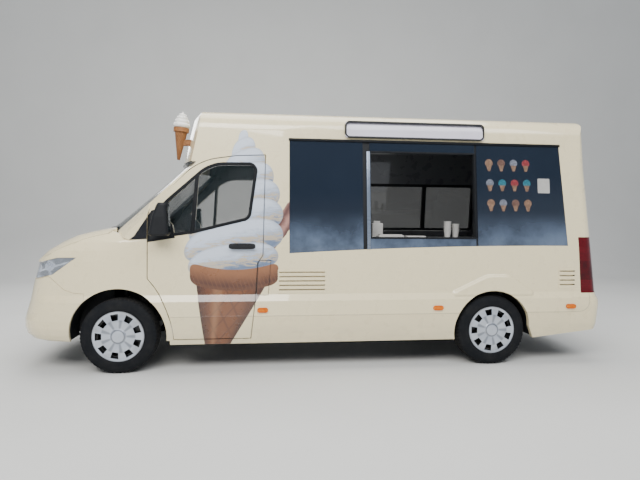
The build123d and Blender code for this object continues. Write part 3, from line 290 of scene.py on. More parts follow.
def draw_stick(p, u):
    """Ridged stick that leans out behind the ice."""
    middle_u, middle_z, half_length, half_width = 1.50, 1.37, 0.285, 0.085
    lean_cos, lean_sin = 0.80, 0.60
    du, dz = u - middle_u, p.z - middle_z
    along = dz * lean_cos + du * lean_sin
    across = du * lean_cos - dz * lean_sin + (p.noise(16.0, 3.0) - 0.5) * 0.035
    stick = across.abs().step(half_width, half_width - 0.005)
    stick = stick * along.abs().step(half_length, half_length - 0.010)
    p.mix(stick, p.ramp((across * 58.0 + along * 5.0).wave(), STICK_DARK, STICK_LIGHT))


def draw_ice(p, u):
    """Swirl drawn from the tip down, so that each turn overlaps the one above."""
    streaks = p.noise(5.0, 6.0, 0.6, stretch=(1.0, 1.0, 4.0), distort=1.6) - 0.5
    fine = p.noise(24.0, 4.0, 0.6, stretch=(1.0, 1.0, 5.0), distort=0.8) - 0.5
    for centre, place, width, rise, tilt in ICE_TURNS:
        s = u - place
        reach = s / width
        level = (p.z - centre - s * tilt) / rise
        drop = level + reach * reach * 0.30 - 0.12
        edge = drop * drop + fourth(reach)
        inside = edge.step(1.04, 0.97)
        light = level * 1.25 + reach * -0.30 + streaks * 1.5 + fine * 0.6
        p.mix(inside, p.ramp(light.step(-1.15, 0.75), ICE_SHADOW, ICE_LIGHT))
        p.mix((level + streaks * 2.4).near(-0.25, 0.30, 0.02) * inside * 0.75, ICE_CREAM)
        p.mix(edge.step(0.72, 1.0) * inside * 0.45, ICE_RIM)


def draw_cup(p, u):
    """Waffle cup: a tapering body with crossed lines, and a flared lip over it."""
    foot_u, foot_z, foot_half, taper, lean = 0.925, 0.30, 0.135, 0.365, 0.235
    t = p.z - foot_z
    s = u - foot_u - t * lean
    across = s / (t * taper + foot_half)
    cup = across.abs().step(1.0, 0.985) * p.z.step(0.88, 0.86) * p.z.step(0.20, 0.26)
    lines = [(s * slope + t * 4.6).comb().step(0.40, 0.47) for slope in (7.0, -7.0)]
    bake = p.noise(6.0, 5.0, 0.6) - 0.5
    shade = across.abs().power(2.2) + bake * 0.5
    p.mix(cup, p.ramp(shade.step(0.0, 1.0), CUP_MIDDLE, CUP_EDGE))
    p.mix(cup * lines[0].max(lines[1]) * 0.70, CUP_LINE)
    p.mix(cup * across.near(-0.38, 0.26, 0.0) * 0.30, CUP_SHINE)

    lip_u, lip_middle, lip_foot, lip_half, lip_round = 1.080, 0.882, 0.800, 0.340, 0.078
    s = u - lip_u
    curve = s * s * 0.42
    height = (p.z - lip_middle - curve) / 0.100
    end = (s.abs() - lip_half) / lip_round
    end = end * end.step(0.0, 0.001)
    lip = (end * end + fourth(height)).step(1.06, 0.97)
    roll = (p.z - lip_foot - curve) / 0.18
    p.mix(lip, p.ramp((roll + bake * 0.5).step(0.0, 0.9), LIP_LOW, LIP_HIGH))
    p.mix(lip * (s * 26.0 + p.z * 10.0).comb().step(0.36, 0.47) * 0.35, LIP_RIB)
    p.mix(lip * roll.step(0.14, 0.0) * 0.6, LIP_SHADOW)


def side_art(p):
    """Airbrushed cone on the left side; on the right side u runs far off, so nothing shows."""
    u = -p.x + AXLE_F + p.y.step(0.3, 0.1) * 50.0
    draw_stick(p, u)
    draw_ice(p, u)
    draw_cup(p, u)
    return p


# Plain materials

def plastic(name, color, rough, grain=900.0, strength=0.12, spec=0.4):
    p = Paint(name, color, rough=rough, spec=spec)
    p.vary(0.18, 14.0)
    p.rough(rough - 0.08, rough + 0.1, 30.0)
    p.bump(p.voronoi(grain), strength, 0.0004)
    return p.mat


def glass(name, color, alpha, coat=0.4):
    p = Paint(name, color, rough=0.03, spec=0.6, alpha=alpha, coat=coat, coat_rough=0.02)
    p.rough(0.03, 0.06, 3.0)
    # painted reflection: paler clouds over the glass, like trees mirrored in it
    p.mix(p.noise(1.6, 3.0).step(0.4, 0.8) * 0.35, tuple(c * 1.35 for c in color))
    p.mat.surface_render_method = "BLENDED"
    return p


def metal(name, color, low, high, scale, stretch=None, bump=0.05):
    p = Paint(name, color, rough=low, metal=1.0)
    p.vary(0.12, 9.0)
    p.rough(low, high, scale, stretch)
    p.bump(p.noise(scale * 6, 3.0, stretch=stretch), bump, 0.0005)
    return p.mat


def smooth_finish(name, color, cloud, grain, **looks):
    """Even finish: cloud is vary's amount and scale, grain its bump's scale, strength, height."""
    p = Paint(name, color, **looks)
    p.vary(*cloud)
    p.bump(p.noise(grain[0], grain[1]), grain[2], grain[3])
    return p.mat


def pane_glass():
    """Dark serving window glass, with a painted reflection of the sky that makes it paler low on
    the hatch side.
    """
    p = glass("tinted_glass", (0.010, 0.016, 0.028), 0.92)
    hatch_side = p.y.step(0.0, 0.1)
    # painted reflection of the sky, low on the hatch side
    sky_reflection = p.z.step(1.58, 1.20) * p.noise(1.6, 5.0, 0.6).step(0.25, 0.70)
    p.mix(hatch_side * sky_reflection * 0.60, (0.20, 0.27, 0.40))
    return p.feed("Alpha", ((hatch_side * 0.22) + 0.70).socket).mat


def wheel_place(p):
    """Distance from the nearer axle, and the angle round it, for the wheels' patterns."""
    front = p.x.step(-0.01, 0.01)
    across, up = p.x - (front * (AXLE_F - AXLE_R) + AXLE_R), p.z - AXLE_Z
    return length(across, up), up.angle(across)


def wheel_silver():
    """Silver cover with nine ridges between its windows and a hub ring; painted shade darkens the
    grooves between the ridges, and the back and the window walls are painted black as the shade
    inside the wheel.
    """
    black = (0.012, 0.013, 0.015)
    p = Paint("silver_cover", (0.56, 0.60, 0.67), rough=0.34, metal=0.75, coat=0.5, coat_rough=0.08)
    p.vary(0.10, 9.0)
    far, turn = wheel_place(p)
    deep = p.y.abs()
    ridge = (turn * 9.0 + math.pi / 2).wave()
    p.bump(ridge * far.step(0.075, 0.11) * far.step(0.17, 0.14), 0.6, 0.004)
    # painted shade in the grooves between the ridges
    groove = ridge.step(0.45, 0.0) * far.step(0.06, 0.09) * far.step(0.165, 0.15)
    p.mix(groove * 0.65, (0.15, 0.17, 0.20))
    p.mix(far.near(0.060, 0.010, 0.002) * 0.7, (0.11, 0.12, 0.14))
    p.mix(far.near(0.235, 0.006, 0.001) * 0.6, (0.12, 0.12, 0.13))
    # painted shade: the back of the wheel and what shows through the windows painted black
    p.mix(deep.step(0.930, 0.921), black)
    p.mix(deep.step(0.951, 0.947) * far.step(0.221, 0.217), black)
    # painted shade: the walls of the windows painted black
    window_walls = p.ny.abs().step(0.55, 0.40) * far.step(0.140, 0.150) * far.step(0.219, 0.216)
    p.mix(window_walls * deep.step(0.925, 0.935), black)
    dust = p.noise(9.0, 6.0).step(0.45, 0.8) * far.step(0.10, 0.24)
    p.mix(dust * 0.35, (0.20, 0.18, 0.15))
    p.rough(0.28, 0.42, 60.0)
    return p.mat


def tail_lamp():
    """Red lens in three bands, with fine ribs."""
    p = Paint("red_lamp", (0.105, 0.001, 0.005), rough=0.16, coat=0.25, spec=0.22)
    p.mix(p.z.step(1.07, 1.05) * p.z.step(0.86, 0.87), (0.040, 0.001, 0.003))
    p.mix(((p.z * 38.0).comb() * 2.0).step(0.86, 0.97) * 0.5, (0.025, 0.001, 0.002))
    p.bump((p.z * 95.0).comb() * 2.0, 0.25, 0.0012)
    p.vary(0.30, 20.0)
    return p.mat


def marker_lamp():
    p = Paint("amber_lamp", (0.66, 0.125, 0.0), rough=0.25, coat=0.15, spec=0.15)
    p.bump((p.x * 160.0).comb() * 2.0, 0.4, 0.0012)
    # painted highlight: a brighter band along the middle of the lens
    p.mix(p.z.near(0.597, 0.012, 0.004) * 0.3, (0.90, 0.34, 0.03))
    p.vary(0.25, 30.0)
    return p.mat


def lamp_inner():
    """Headlamp's inside: two bright bowls at (x, z), a light strip across them, and painted
    reflections that mottle the dark inside with pale blue.
    """
    p = Paint("lamp_inner", (0.10, 0.115, 0.14), rough=0.12, metal=0.3, coat=0.5)
    rings = []
    for x, z in ((2.735, 0.990), (2.600, 1.010)):
        away = length(p.x - x, (p.z - z) * 1.25)
        rings.append(away.step(0.052, 0.049) * away.step(0.016, 0.019))
    bowl = rings[0].max(rings[1])
    strip = ((p.z - 0.925) - (p.x * -0.30 + 0.852)).abs().step(0.010, 0.006)
    p.mix(bowl, (0.80, 0.83, 0.88))
    p.mix(strip, (0.88, 0.92, 0.97))
    # painted reflection: pale blue clouds over the dark inside
    p.mix(p.noise(9.0, 2.0).step(0.42, 0.60) * 0.55, (0.62, 0.68, 0.80))
    p.feed("Metallic", bowl.max(strip).socket)
    p.bump(p.voronoi(60.0), 0.3, 0.003)
    return p.mat


def tyre_rubber():
    """Black rubber, dusty on the tread, with fine rings on the walls."""
    p = Paint("tyre_rubber", (0.007, 0.008, 0.010), rough=0.82, spec=0.16)
    far, _ = wheel_place(p)
    p.mix(p.noise(11.0, 6.0).step(0.40, 0.75) * 0.30, (0.022, 0.021, 0.020))
    p.mix(far.step(0.345, 0.357) * 0.5, (0.030, 0.028, 0.025))
    p.bump((far * 520.0).wave() * far.step(0.335, 0.325), 0.25, 0.0008)
    p.rough(0.70, 0.90, 20.0)
    p.bump(p.noise(700.0, 4.0), 0.25, 0.0006)
    return p.mat


def wafer():
    """Waffle of the roof's cones: crossed grooves that run round each cone's leaning axis."""
    cone_y, cone_x, cone_z, lean = 0.620, 1.462, 2.057, 0.096
    p = Paint("wafer", (0.26, 0.105, 0.034), rough=0.55, coat=0.15, coat_rough=0.2, spec=0.3)
    p.mix(p.noise(30.0, 5.0).step(0.35, 0.7) * 0.6, (0.37, 0.17, 0.060))
    across = p.x - cone_x + (p.z - cone_z) * lean
    around = (p.y.abs() - cone_y).angle(across) * (7.0 / math.pi)
    grid = [(turn + p.z * 26.0).comb().step(0.34, 0.46) for turn in (around, -around)]
    grid = grid[0].max(grid[1]) * p.z.step(2.335, 2.325)
    p.mix(grid * 0.55, (0.12, 0.042, 0.013))
    p.bump(grid, 0.7, 0.004)
    p.bump(p.noise(140.0, 4.0), 0.25, 0.001)
    return p.mat


def seat_cloth():
    """Fine woven cloth."""
    p = Paint("seat_cloth", (0.028, 0.029, 0.033), rough=0.9, sheen=0.4, spec=0.2)
    fleck = (p.x * 900.0).sin() * (p.z * 900.0).sin()
    p.mix(fleck.step(-0.2, 0.6) * 0.5, (0.052, 0.054, 0.062))
    p.bump((p.x * 1400.0).sin() * (p.z * 1400.0).sin(), 0.3, 0.0006)
    return p.mat


def seat_piping():
    p = Paint("seat_piping", (0.07, 0.072, 0.08), rough=0.8, sheen=0.3, spec=0.2)
    p.bump(((p.x + p.z) * 900.0).sin() * ((p.y - p.z) * 900.0).sin(), 0.4, 0.0005)
    p.vary(0.15, 30.0)
    return p.mat


def bright_channel():
    p = Paint("bright_channel", (0.17, 0.21, 0.28), rough=0.34, metal=0.5, coat=0.2)
    p.vary(0.10, 5.0)
    p.rough(0.24, 0.36, 14.0, (1.0, 1.0, 30.0))
    return p.mat


def mirror_face():
    p = Paint("mirror_face", (0.72, 0.75, 0.78), rough=0.02, metal=1.0)
    return p.rough(0.015, 0.05, 6.0).mat


def repeater_lens():
    p = Paint("repeater_lens", (0.66, 0.68, 0.70), rough=0.12, coat=0.8)
    p.bump((p.z * 260.0).comb() * 2.0, 0.3, 0.001)
    p.vary(0.15, 40.0)
    return p.mat


def sticker(name, color):
    """Printed film, mottled with a paler shade of its colour."""
    p = Paint(name, color, rough=0.35, coat=0.3)
    pale = tuple(min(1.0, c * 2.2 + 0.03) for c in color)
    return p.mix(p.noise(60.0, 4.0).step(0.45, 0.65) * 0.5, pale).mat


def floor_vinyl():
    """Studded grey sheet with pale flecks."""
    p = Paint("floor_vinyl", (0.11, 0.11, 0.115), rough=0.6)
    p.mix(p.voronoi(240.0).step(0.25, 0.1) * 0.5, (0.30, 0.30, 0.31))
    p.bump(p.voronoi(180.0), 0.2, 0.0008)
    return p.mat


STICKER_COLORS = {
    "brown": (0.085, 0.042, 0.030), "red": (0.17, 0.018, 0.022), "teal": (0.008, 0.095, 0.13),
    "grey": (0.11, 0.12, 0.15), "tan": (0.15, 0.085, 0.052),
}
M = {
    "body_paint": shaded_inside(body_paint("cream_paint")),
    "door_paint": shaded_inside(handle_pocket_shade(body_paint("cream_paint_door"))),
    "side_paint": shaded_inside(side_art(body_paint("cream_paint_art"))),
    "door_art": shaded_inside(handle_pocket_shade(side_art(body_paint("cream_paint_door_art")))),
    "black_plastic": plastic("black_grained_plastic", (0.009, 0.010, 0.012), 0.5, spec=0.25),
    "black_gloss": plastic("black_gloss_trim", (0.006, 0.006, 0.008), 0.16, 300.0, 0.03, 0.6),
    "rubber": plastic("seal_rubber", (0.006, 0.007, 0.009), 0.62, 500.0, 0.2, 0.18),
    "dark_glass": pane_glass(),
    "clear_glass": glass("cab_glass", (0.016, 0.026, 0.028), 0.20, coat=0.2).mat,
    "screen_glass": glass("screen_glass", (0.020, 0.030, 0.032), 0.42).mat,
    "lamp_glass": glass("lamp_cover", (0.62, 0.66, 0.70), 0.16, coat=1.0).mat,
    "silver": wheel_silver(),
    "steel_dark": metal("chassis_steel", (0.035, 0.035, 0.036), 0.55, 0.75, 18.0, bump=0.3),
    "steel": metal("brushed_steel", (0.56, 0.57, 0.58), 0.22, 0.38, 10.0, (1.0, 60.0, 60.0), 0.12),
    "lamp_red": tail_lamp(),
    "lamp_amber": marker_lamp(),
    "lamp_inner": lamp_inner(),
    "sign_face": smooth_finish("sign_face", (0.66, 0.63, 0.72), (0.06, 3.0),
                               (160.0, 2.0, 0.02, 0.0005), rough=0.22, coat=0.6),
    "tyre": tyre_rubber(),
    "wafer": wafer(),
    "swirl": smooth_finish("moulded_swirl", (0.86, 0.85, 0.80), (0.06, 12.0),
                           (60.0, 3.0, 0.05, 0.001), rough=0.26, coat=0.5, coat_rough=0.08),
    "seat_cloth": seat_cloth(),
    "seat_piping": seat_piping(),
    "channel": bright_channel(),
    "mirror_face": mirror_face(),
    "repeater": repeater_lens(),
    "card": smooth_finish("white_card", (0.40, 0.39, 0.37), (0.12, 14.0),
                          (90.0, 3.0, 0.08, 0.0006), rough=0.55),
    "floor_vinyl": floor_vinyl(),
    "laminate": smooth_finish("white_laminate", (0.66, 0.66, 0.65), (0.06, 5.0),
                              (220.0, 3.0, 0.04, 0.0005), rough=0.3, coat=0.3),
}
for key, shade in STICKER_COLORS.items():
    M["sticker_" + key] = sticker("sticker_" + key, shade)

# Which CAD nodes wear which material
LOOKS = {
    "side_paint": ["body_left", "roof", "fuel_flap"],
    "door_art": ["door_left"],
    "door_paint": ["door_right"],
    "body_paint": ["body_right", "rear_wall", "front_wings", "front_bumper", "rear_bumper",
                   "bonnet", "side_vents", "rear_door"],
    "black_plastic": ["scuttle", "mirror_left", "mirror_right", "handle_left", "handle_right",
                      "window_frames", "arch_liners", "fuel_tank", "dashboard",
                      "steering_wheel"],
    "black_gloss": ["grille", "pillar_trims"],
    "lamp_glass": ["headlamps"],
    "screen_glass": ["windscreen"],
    "clear_glass": ["door_glass_left", "door_glass_right"],
    "dark_glass": ["window_glass", "rear_door_glass"],
    "sign_face": ["sign_board"],
    "lamp_red": ["tail_lamps"],
    "lamp_amber": ["side_markers"],
    "wafer": ["cone_wafers"],
    "swirl": ["cone_swirls"],
    "floor_vinyl": ["floor"],
    "steel_dark": ["chassis", "front_subframe", "rear_axle", "knuckle_left", "knuckle_right",
                   "engine"],
    "steel": ["exhaust", "machine"],
    "seat_cloth": ["seats"],
    "laminate": ["counter"],
    "silver": ["wheel_%s_%s" % (corner, hand) for corner, _ in CORNERS for hand in SIDES],
    "tyre": ["tyre_%s_%s" % (corner, hand) for corner, _ in CORNERS for hand in SIDES],
}
for look, names in LOOKS.items():
    for name in names:
        materials = nodes[name].data.materials
        materials.clear()
        materials.append(M[look])


# Mesh building

def finish_mesh(bm, name):
    """Turns a bmesh into a mesh with its faces pointing outward."""
    bmesh.ops.recalc_face_normals(bm, faces=bm.faces)
    mesh = bpy.data.meshes.new(name)
    bm.to_mesh(mesh)
    bm.free()
    return mesh


def add_object(name, data):
    obj = bpy.data.objects.new(name, data)
    bpy.context.scene.collection.objects.link(obj)
    return obj


def piece(name, bm, body, look, smooth=None, stands_for=None):
    """Puts a bmesh in the scene as a piece of the van; edges sharper than smooth stay sharp."""
    mesh = finish_mesh(bm, name)
    obj = add_object(name, mesh)
    mesh.materials.append(M[look])
    if smooth is not None:
        mesh.polygons.foreach_set("use_smooth", [True] * len(mesh.polygons))
        mesh.set_sharp_from_angle(angle=math.radians(smooth))
    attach(obj, body)
    if stands_for:
        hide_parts(stands_for)
    return obj


def bridge(bm, a, b, closed=True):
    """Quads between two rows of points, closed into rings or left open."""
    count = len(a)
    for k in range(count if closed else count - 1):
        j = (k + 1) % count
        bm.faces.new((a[k], a[j], b[j], b[k]))


def circle(steps):
    """Cosine and sine at even steps round a circle."""
    for k in range(steps):
        a = 2 * math.pi * k / steps
        yield math.cos(a), math.sin(a)


def on_side(x, z, out, side):
    """Point on the van's side, a little out from the skin."""
    return x, side * (side_y(z) + out), z


def arc(a, b, c, steps=6):
    """Points along the arc from a through b to c, ends included."""
    d = 2 * (a[0] * (b[1] - c[1]) + b[0] * (c[1] - a[1]) + c[0] * (a[1] - b[1]))
    sq = [p[0] ** 2 + p[1] ** 2 for p in (a, b, c)]
    ux = (sq[0] * (b[1] - c[1]) + sq[1] * (c[1] - a[1]) + sq[2] * (a[1] - b[1])) / d
    uz = (sq[0] * (c[0] - b[0]) + sq[1] * (a[0] - c[0]) + sq[2] * (b[0] - a[0])) / d
    radius = math.hypot(a[0] - ux, a[1] - uz)
    first, middle, last = (math.atan2(p[1] - uz, p[0] - ux) for p in (a, b, c))
    sweep = (last - first) % (2 * math.pi)
    if (middle - first) % (2 * math.pi) > sweep:
        sweep -= 2 * math.pi
    turns = [first + sweep * k / steps for k in range(steps + 1)]
    return [(ux + radius * math.cos(t), uz + radius * math.sin(t)) for t in turns]


def inset(points, amount):
    """Closed outline drawn in by an amount, its corners mitred; it may run either way."""
    area = sum(a[0] * b[1] - b[0] * a[1] for a, b in zip(points, points[1:] + points[:1]))
    turn = 1 if area > 0 else -1
    sharpest = 0.35
    result = []
    for k, here in enumerate(points):
        before, after = points[k - 1], points[(k + 1) % len(points)]
        one = Vector((here[0] - before[0], here[1] - before[1])).normalized()
        two = Vector((after[0] - here[0], after[1] - here[1])).normalized()
        normal = (Vector((-one.y, one.x)) + Vector((-two.y, two.x))) * 0.5
        scale = amount * turn / max(sharpest, normal.length_squared)
        result.append((here[0] + normal.x * scale, here[1] + normal.y * scale))
    return result


def rounded(x0, x1, z0, z1, radius, steps=6):
    """Rounded rectangle as a closed outline."""
    points = []
    for cx, cz, start in ((x1 - radius, z1 - radius, 0), (x0 + radius, z1 - radius, 90),
                          (x0 + radius, z0 + radius, 180), (x1 - radius, z0 + radius, 270)):
        for k in range(steps + 1):
            a = math.radians(start + 90 * k / steps)
            points.append((cx + radius * math.cos(a), cz + radius * math.sin(a)))
    return points


# Section of a bead: share of its width, share of its thickness
BEAD = [(0.0, 0.0), (0.0, 0.6), (0.12, 0.9), (0.35, 1.0), (0.65, 1.0), (0.88, 0.9), (1.0, 0.6),
        (1.0, 0.0)]


def side_loop(bm, outline, draw, out, side):
    """Points on the van's side along an outline drawn in by an amount."""
    return [bm.verts.new(on_side(x, z, out, side)) for x, z in inset(outline, draw)]


def rolled_ring(outline, wide, out, thick, side):
    """Closed bead that follows an outline on the van's side, wide inward from it."""
    bm = bmesh.new()
    rings = [side_loop(bm, outline, wide * share, out + thick * lift, side)
             for share, lift in BEAD]
    for a, b in zip(rings, rings[1:] + rings[:1]):
        bridge(bm, a, b)
    return bm


def slab(outline, out, thick, side, edge=0.002):
    """Thin plate on the van's side with a softened rim."""
    bm = bmesh.new()
    section = ((0.0, 0.0), (0.0, thick - edge), (edge * 0.4, thick - edge * 0.3), (edge, thick))
    rings = [side_loop(bm, outline, draw, out + lift, side) for draw, lift in section]
    for a, b in zip(rings, rings[1:]):
        bridge(bm, a, b)
    bm.faces.new(rings[0])
    bm.faces.new(rings[-1])
    return bm


def tube(points, radii, flat, up, bm=None, sides=10):
    """Swept bar along points, with a radius at each, closed at both ends; added to bm."""
    bm = bm or bmesh.new()
    points = [Vector(p) for p in points]
    rings = []
    for k, here in enumerate(points):
        run = (points[min(k + 1, len(points) - 1)] - points[max(k - 1, 0)]).normalized()
        across = run.cross(Vector(up)).normalized()
        above = across.cross(run).normalized()
        rings.append([bm.verts.new(here + radii[k] * (across * c + above * (flat * s)))
                      for c, s in circle(sides)])
    for a, b in zip(rings, rings[1:]):
        bridge(bm, a, b)
    bm.faces.new(rings[0])
    bm.faces.new(list(reversed(rings[-1])))
    return bm


def soft_box(size, centre, edge, steps=3, bm=None):
    """Moulded box with rounded edges, added to bm if there is one."""
    made = bmesh.new()
    bmesh.ops.create_cube(made, size=1.0)
    for v in made.verts:
        v.co = Vector([a * b + c for a, b, c in zip(v.co, size, centre)])
    bmesh.ops.bevel(made, geom=made.edges[:], offset=edge, segments=steps, profile=0.5,
                    affect="EDGES")
    if bm is None:
        return made
    mesh = bpy.data.meshes.new("part")
    made.to_mesh(mesh)
    made.free()
    bm.from_mesh(mesh)
    bpy.data.meshes.remove(mesh)
    return bm


trees = {}


def hit(node, origin, aim):
    """First point of a CAD node's skin on a line, or None."""
    if node not in trees:
        mesh = nodes[node].data
        trees[node] = BVHTree.FromPolygons([v.co[:] for v in mesh.vertices],
                                           [p.vertices[:] for p in mesh.polygons])
    return trees[node].ray_cast(Vector(origin), Vector(aim).normalized())[0]


# Door windows: rubber seal over the glass edge, and the upright between the two panes
WINDOW = [(aft(305), 1.284), (aft(519), 1.305), (aft(701), 1.331), (aft(933), 1.391)]
WINDOW += arc((aft(1160), 1.447), (aft(1213), 1.475), (aft(1236), 1.530))
WINDOW += arc((aft(1290), 1.920), (aft(1273), 1.985), (aft(1215), 2.014))
WINDOW += arc((aft(960), 2.010), (aft(850), 1.985), (aft(754), 1.930))
WINDOW += [(aft(450), 1.655), (aft(305), 1.500)]
DIVIDER = [(aft(706), 1.876), (aft(742), 1.905), (aft(701), 1.328), (aft(662), 1.320)]
for hand, side in SIDES.items():
    piece("window_seal_" + hand, rolled_ring(inset(WINDOW, -0.003), 0.030, 0.0005, 0.0035, side),
          "door_" + hand, "rubber", 40)
    piece("window_divider_" + hand, slab(DIVIDER, 0.0005, 0.0040, side), "door_" + hand, "rubber",
          40)

# Gasket round the mirror's foot
FOOT = [(aft(293), 1.268), (aft(499), 1.302), (aft(478), 1.400), (aft(352), 1.532),
        (aft(318), 1.525), (aft(293), 1.490)]
for hand, side in SIDES.items():
    piece("mirror_gasket_" + hand, slab(inset(FOOT, -0.021), 0.0004, 0.0028, side),
          "door_" + hand, "rubber", 40)

# Rail over the serving window
RAIL = [(aft(1596), 2.238), (aft(4412), 2.238), (aft(4412), 2.262), (aft(1596), 2.262)]
piece("window_rail", slab(RAIL, 0.0005, 0.012, 1, 0.004), "van", "rubber", 40)

# Flared moulding over the rear arches: the CAD's outline, how far it stands proud, how far
# outside the outline it fades into the side, and the arch's centre height
FLARE = [(aft(3270), 0.738), (aft(3590), 0.885), (aft(3625), 0.892), (aft(3800), 0.892),
         (aft(3835), 0.885), (aft(4062), 0.738)]
FLARE_PROUD, FLARE_FADE, ARCH_Z = 0.0225, 0.038, 0.364


def outside_by(x, z, outline):
    """How far a point lies outside a convex outline that runs clockwise seen from the left."""
    distances, inside = [], True
    for (ax, az), (bx, bz) in zip(outline, outline[1:] + outline[:1]):
        dx, dz = bx - ax, bz - az
        t = ((x - ax) * dx + (z - az) * dz) / (dx * dx + dz * dz)
        t = max(0.0, min(1.0, t))
        distances.append(math.hypot(x - ax - t * dx, z - az - t * dz))
        if (x - ax) * dz - (z - az) * dx > 0:
            inside = False
    return 0.0 if inside else min(distances)


def flare_sheet(side, columns=110):
    """Sheet round the arch that stands proud over the outline, with a rolled lip at the arch."""
    first_angle, last_angle, sunk, lip_depth = 34, 146, 0.0012, -0.012
    radii = [0.3966, 0.3966, 0.3985] + [0.402 + 0.0068 * k for k in range(33)]
    bm = bmesh.new()
    rows = []
    for k in range(columns + 1):
        a = math.radians(first_angle + (last_angle - first_angle) * k / columns)
        row = []
        for j, r in enumerate(radii):
            x, z = AXLE_R + r * math.cos(a), ARCH_Z + r * math.sin(a)
            fade = min(1.0, max(0.0, outside_by(x, z, FLARE) - 0.002) / FLARE_FADE)
            lift = FLARE_PROUD * (1 - fade * fade * (3 - 2 * fade)) - sunk
            edge = (lip_depth, lift * 0.80, lift * 0.95)[j] if j < 3 else lift
            row.append((bm.verts.new(on_side(x, z, min(edge, lift), side)), lift))
        rows.append(row)
    for a, b in zip(rows, rows[1:]):
        for j in range(len(radii) - 1):
            corners = (a[j], b[j], b[j + 1], a[j + 1])
            if max(lift for _, lift in corners) > 0:
                bm.faces.new([vert for vert, _ in corners])
    loose = [v for v in bm.verts if not v.link_faces]
    bmesh.ops.delete(bm, geom=loose, context="VERTS")
    return bm


def arch_panel(side, columns=13):
    """Bowed sheet between a front wheel and the engine, with two faces and a closed rim."""
    start_x, run, inner_y, thick, bow = 2.130, 0.470, 0.500, 0.006, 0.012
    heights = (0.315, 0.47, 0.63, 0.790)
    bm = bmesh.new()
    rims = []
    for lift in (0.0, thick):
        rows = []
        for k in range(columns):
            share = k / (columns - 1)
            y = side * (inner_y + lift + bow * math.sin(math.pi * share))
            rows.append([bm.verts.new((start_x + run * share, y, z)) for z in heights])
        for a, b in zip(rows, rows[1:]):
            bridge(bm, a, b, closed=False)
        rims.append(rows[0] + [row[-1] for row in rows[1:-1]] + rows[-1][::-1]
                    + [row[0] for row in rows[-2:0:-1]])
    bridge(bm, *rims)
    return bm


for hand, side in SIDES.items():
    piece("arch_flare_" + hand, flare_sheet(side), "van", "body_paint", 60)
    piece("inner_arch_" + hand, arch_panel(side), "van", "black_plastic", 40)

# Sign: dark rounded frame round the blank face
SIGN = rounded(aft(3583), aft(2152), 2.281, 2.444, 0.046)
piece("sign_frame", rolled_ring(inset(SIGN, -0.004), 0.020, 0.004, 0.030, 1), "van",
      "black_gloss", 40)

# Bright upright channel at the front of the open bay, and the seal round the bay
CHANNEL = rounded(aft(2404), aft(2368), 1.178, 2.150, 0.008, 3)
piece("bay_channel", slab(CHANNEL, 0.001, 0.006, 1), "van", "channel", 40)
BAY = rounded(aft(3489), aft(2397), 1.292, 2.144, 0.012, 4)
piece("bay_seal", rolled_ring(inset(BAY, -0.010), 0.018, 0.0005, 0.004, 1), "van", "rubber",
      40)

# Generic small pictures of cones on the rear pane, a tapered cup and a rounded top each, in
# rows, and a blank card beside them; FILM is how far they stand out, their thickness and edge
CUP = [(-0.030, 0.0), (0.030, 0.0), (0.012, -0.060), (-0.012, -0.060)]
TOP = arc((0.036, 0.0), (0.0, 0.062), (-0.036, 0.0), 10)
TOP_COLORS = [("tan", "brown", "grey", "red"), ("grey", "teal", "red", "teal"),
              ("tan", "grey", "brown", "tan")]
FILM = {"out": 0.0003, "thick": 0.0009, "side": 1, "edge": 0.0004}
for row, colors in enumerate(TOP_COLORS):
    for column, color in enumerate(colors):
        x, z = aft(3640 + column * 132 + row * 6), 2.035 - row * 0.205
        for part, shape, key in (("cup", CUP, "tan"), ("top", TOP, color)):
            piece("sticker_%s_%d_%d" % (part, row + 1, column + 1),
                  slab([(x + a, z + b) for a, b in shape], **FILM), "van", "sticker_" + key)
CARD = rounded(aft(4290), aft(4160), 1.755, 1.905, 0.008, 3)
piece("blank_card", slab(CARD, **FILM), "van", "card")

# Half of the tyre's section, from bead to middle: radius, and distance from its centre plane
FLANK = [(0.2395, -0.094), (0.2405, -0.103), (0.246, -0.1085), (0.252, -0.1115),
         (0.266, -0.1135), (0.271, -0.1125), (0.290, -0.1135), (0.312, -0.1120),
         (0.318, -0.1090), (0.334, -0.1050), (0.3475, -0.0960)]
CROWN = [(0.3525, -0.0880), (0.3535, -0.0660), (0.3455, -0.0640), (0.3455, -0.0560),
         (0.3545, -0.0540), (0.3552, -0.0260), (0.3465, -0.0240), (0.3465, -0.0150),
         (0.3555, -0.0130)]


def tyre(centre, side, steps=240, pitch=4):
    """Tyre turned about its axle, its tread cut by slanting sipes and its shoulders by slots."""
    sipe_depth, sipe_slant, sipe_radius, sipe_offset = 0.0055, 60, 0.351, 0.030
    slot_depth, slot_low, slot_high, slot_offset = 0.0040, 0.334, 0.3530, 0.087
    half = FLANK + CROWN
    profile = half + [(r, -offset) for r, offset in reversed(half)]
    bm = bmesh.new()
    rings = []
    for k, (c, s) in enumerate(circle(steps)):
        ring = []
        for r, offset in profile:
            slant = int(round(abs(offset) * sipe_slant))
            siped = r > sipe_radius and abs(offset) > sipe_offset
            deep = sipe_depth if siped and (k + slant) % pitch == 0 else 0.0
            if slot_low <= r <= slot_high and abs(offset) > slot_offset:
                deep = slot_depth if k % pitch < 2 else 0.0
            ring.append(bm.verts.new((centre[0] + (r - deep) * c, centre[1] + side * offset,
                                      centre[2] + (r - deep) * s)))
        rings.append(ring)
    for a, b in zip(rings, rings[1:] + rings[:1]):
        bridge(bm, a, b)
    return bm


for corner, axle in CORNERS:
    for hand, side in SIDES.items():
        place = "%s_%s" % (corner, hand)
        piece("tread_" + place, tyre((axle, side * TRACK, AXLE_Z), side), "wheel_" + place,
              "tyre", 35, "tyre_" + place)

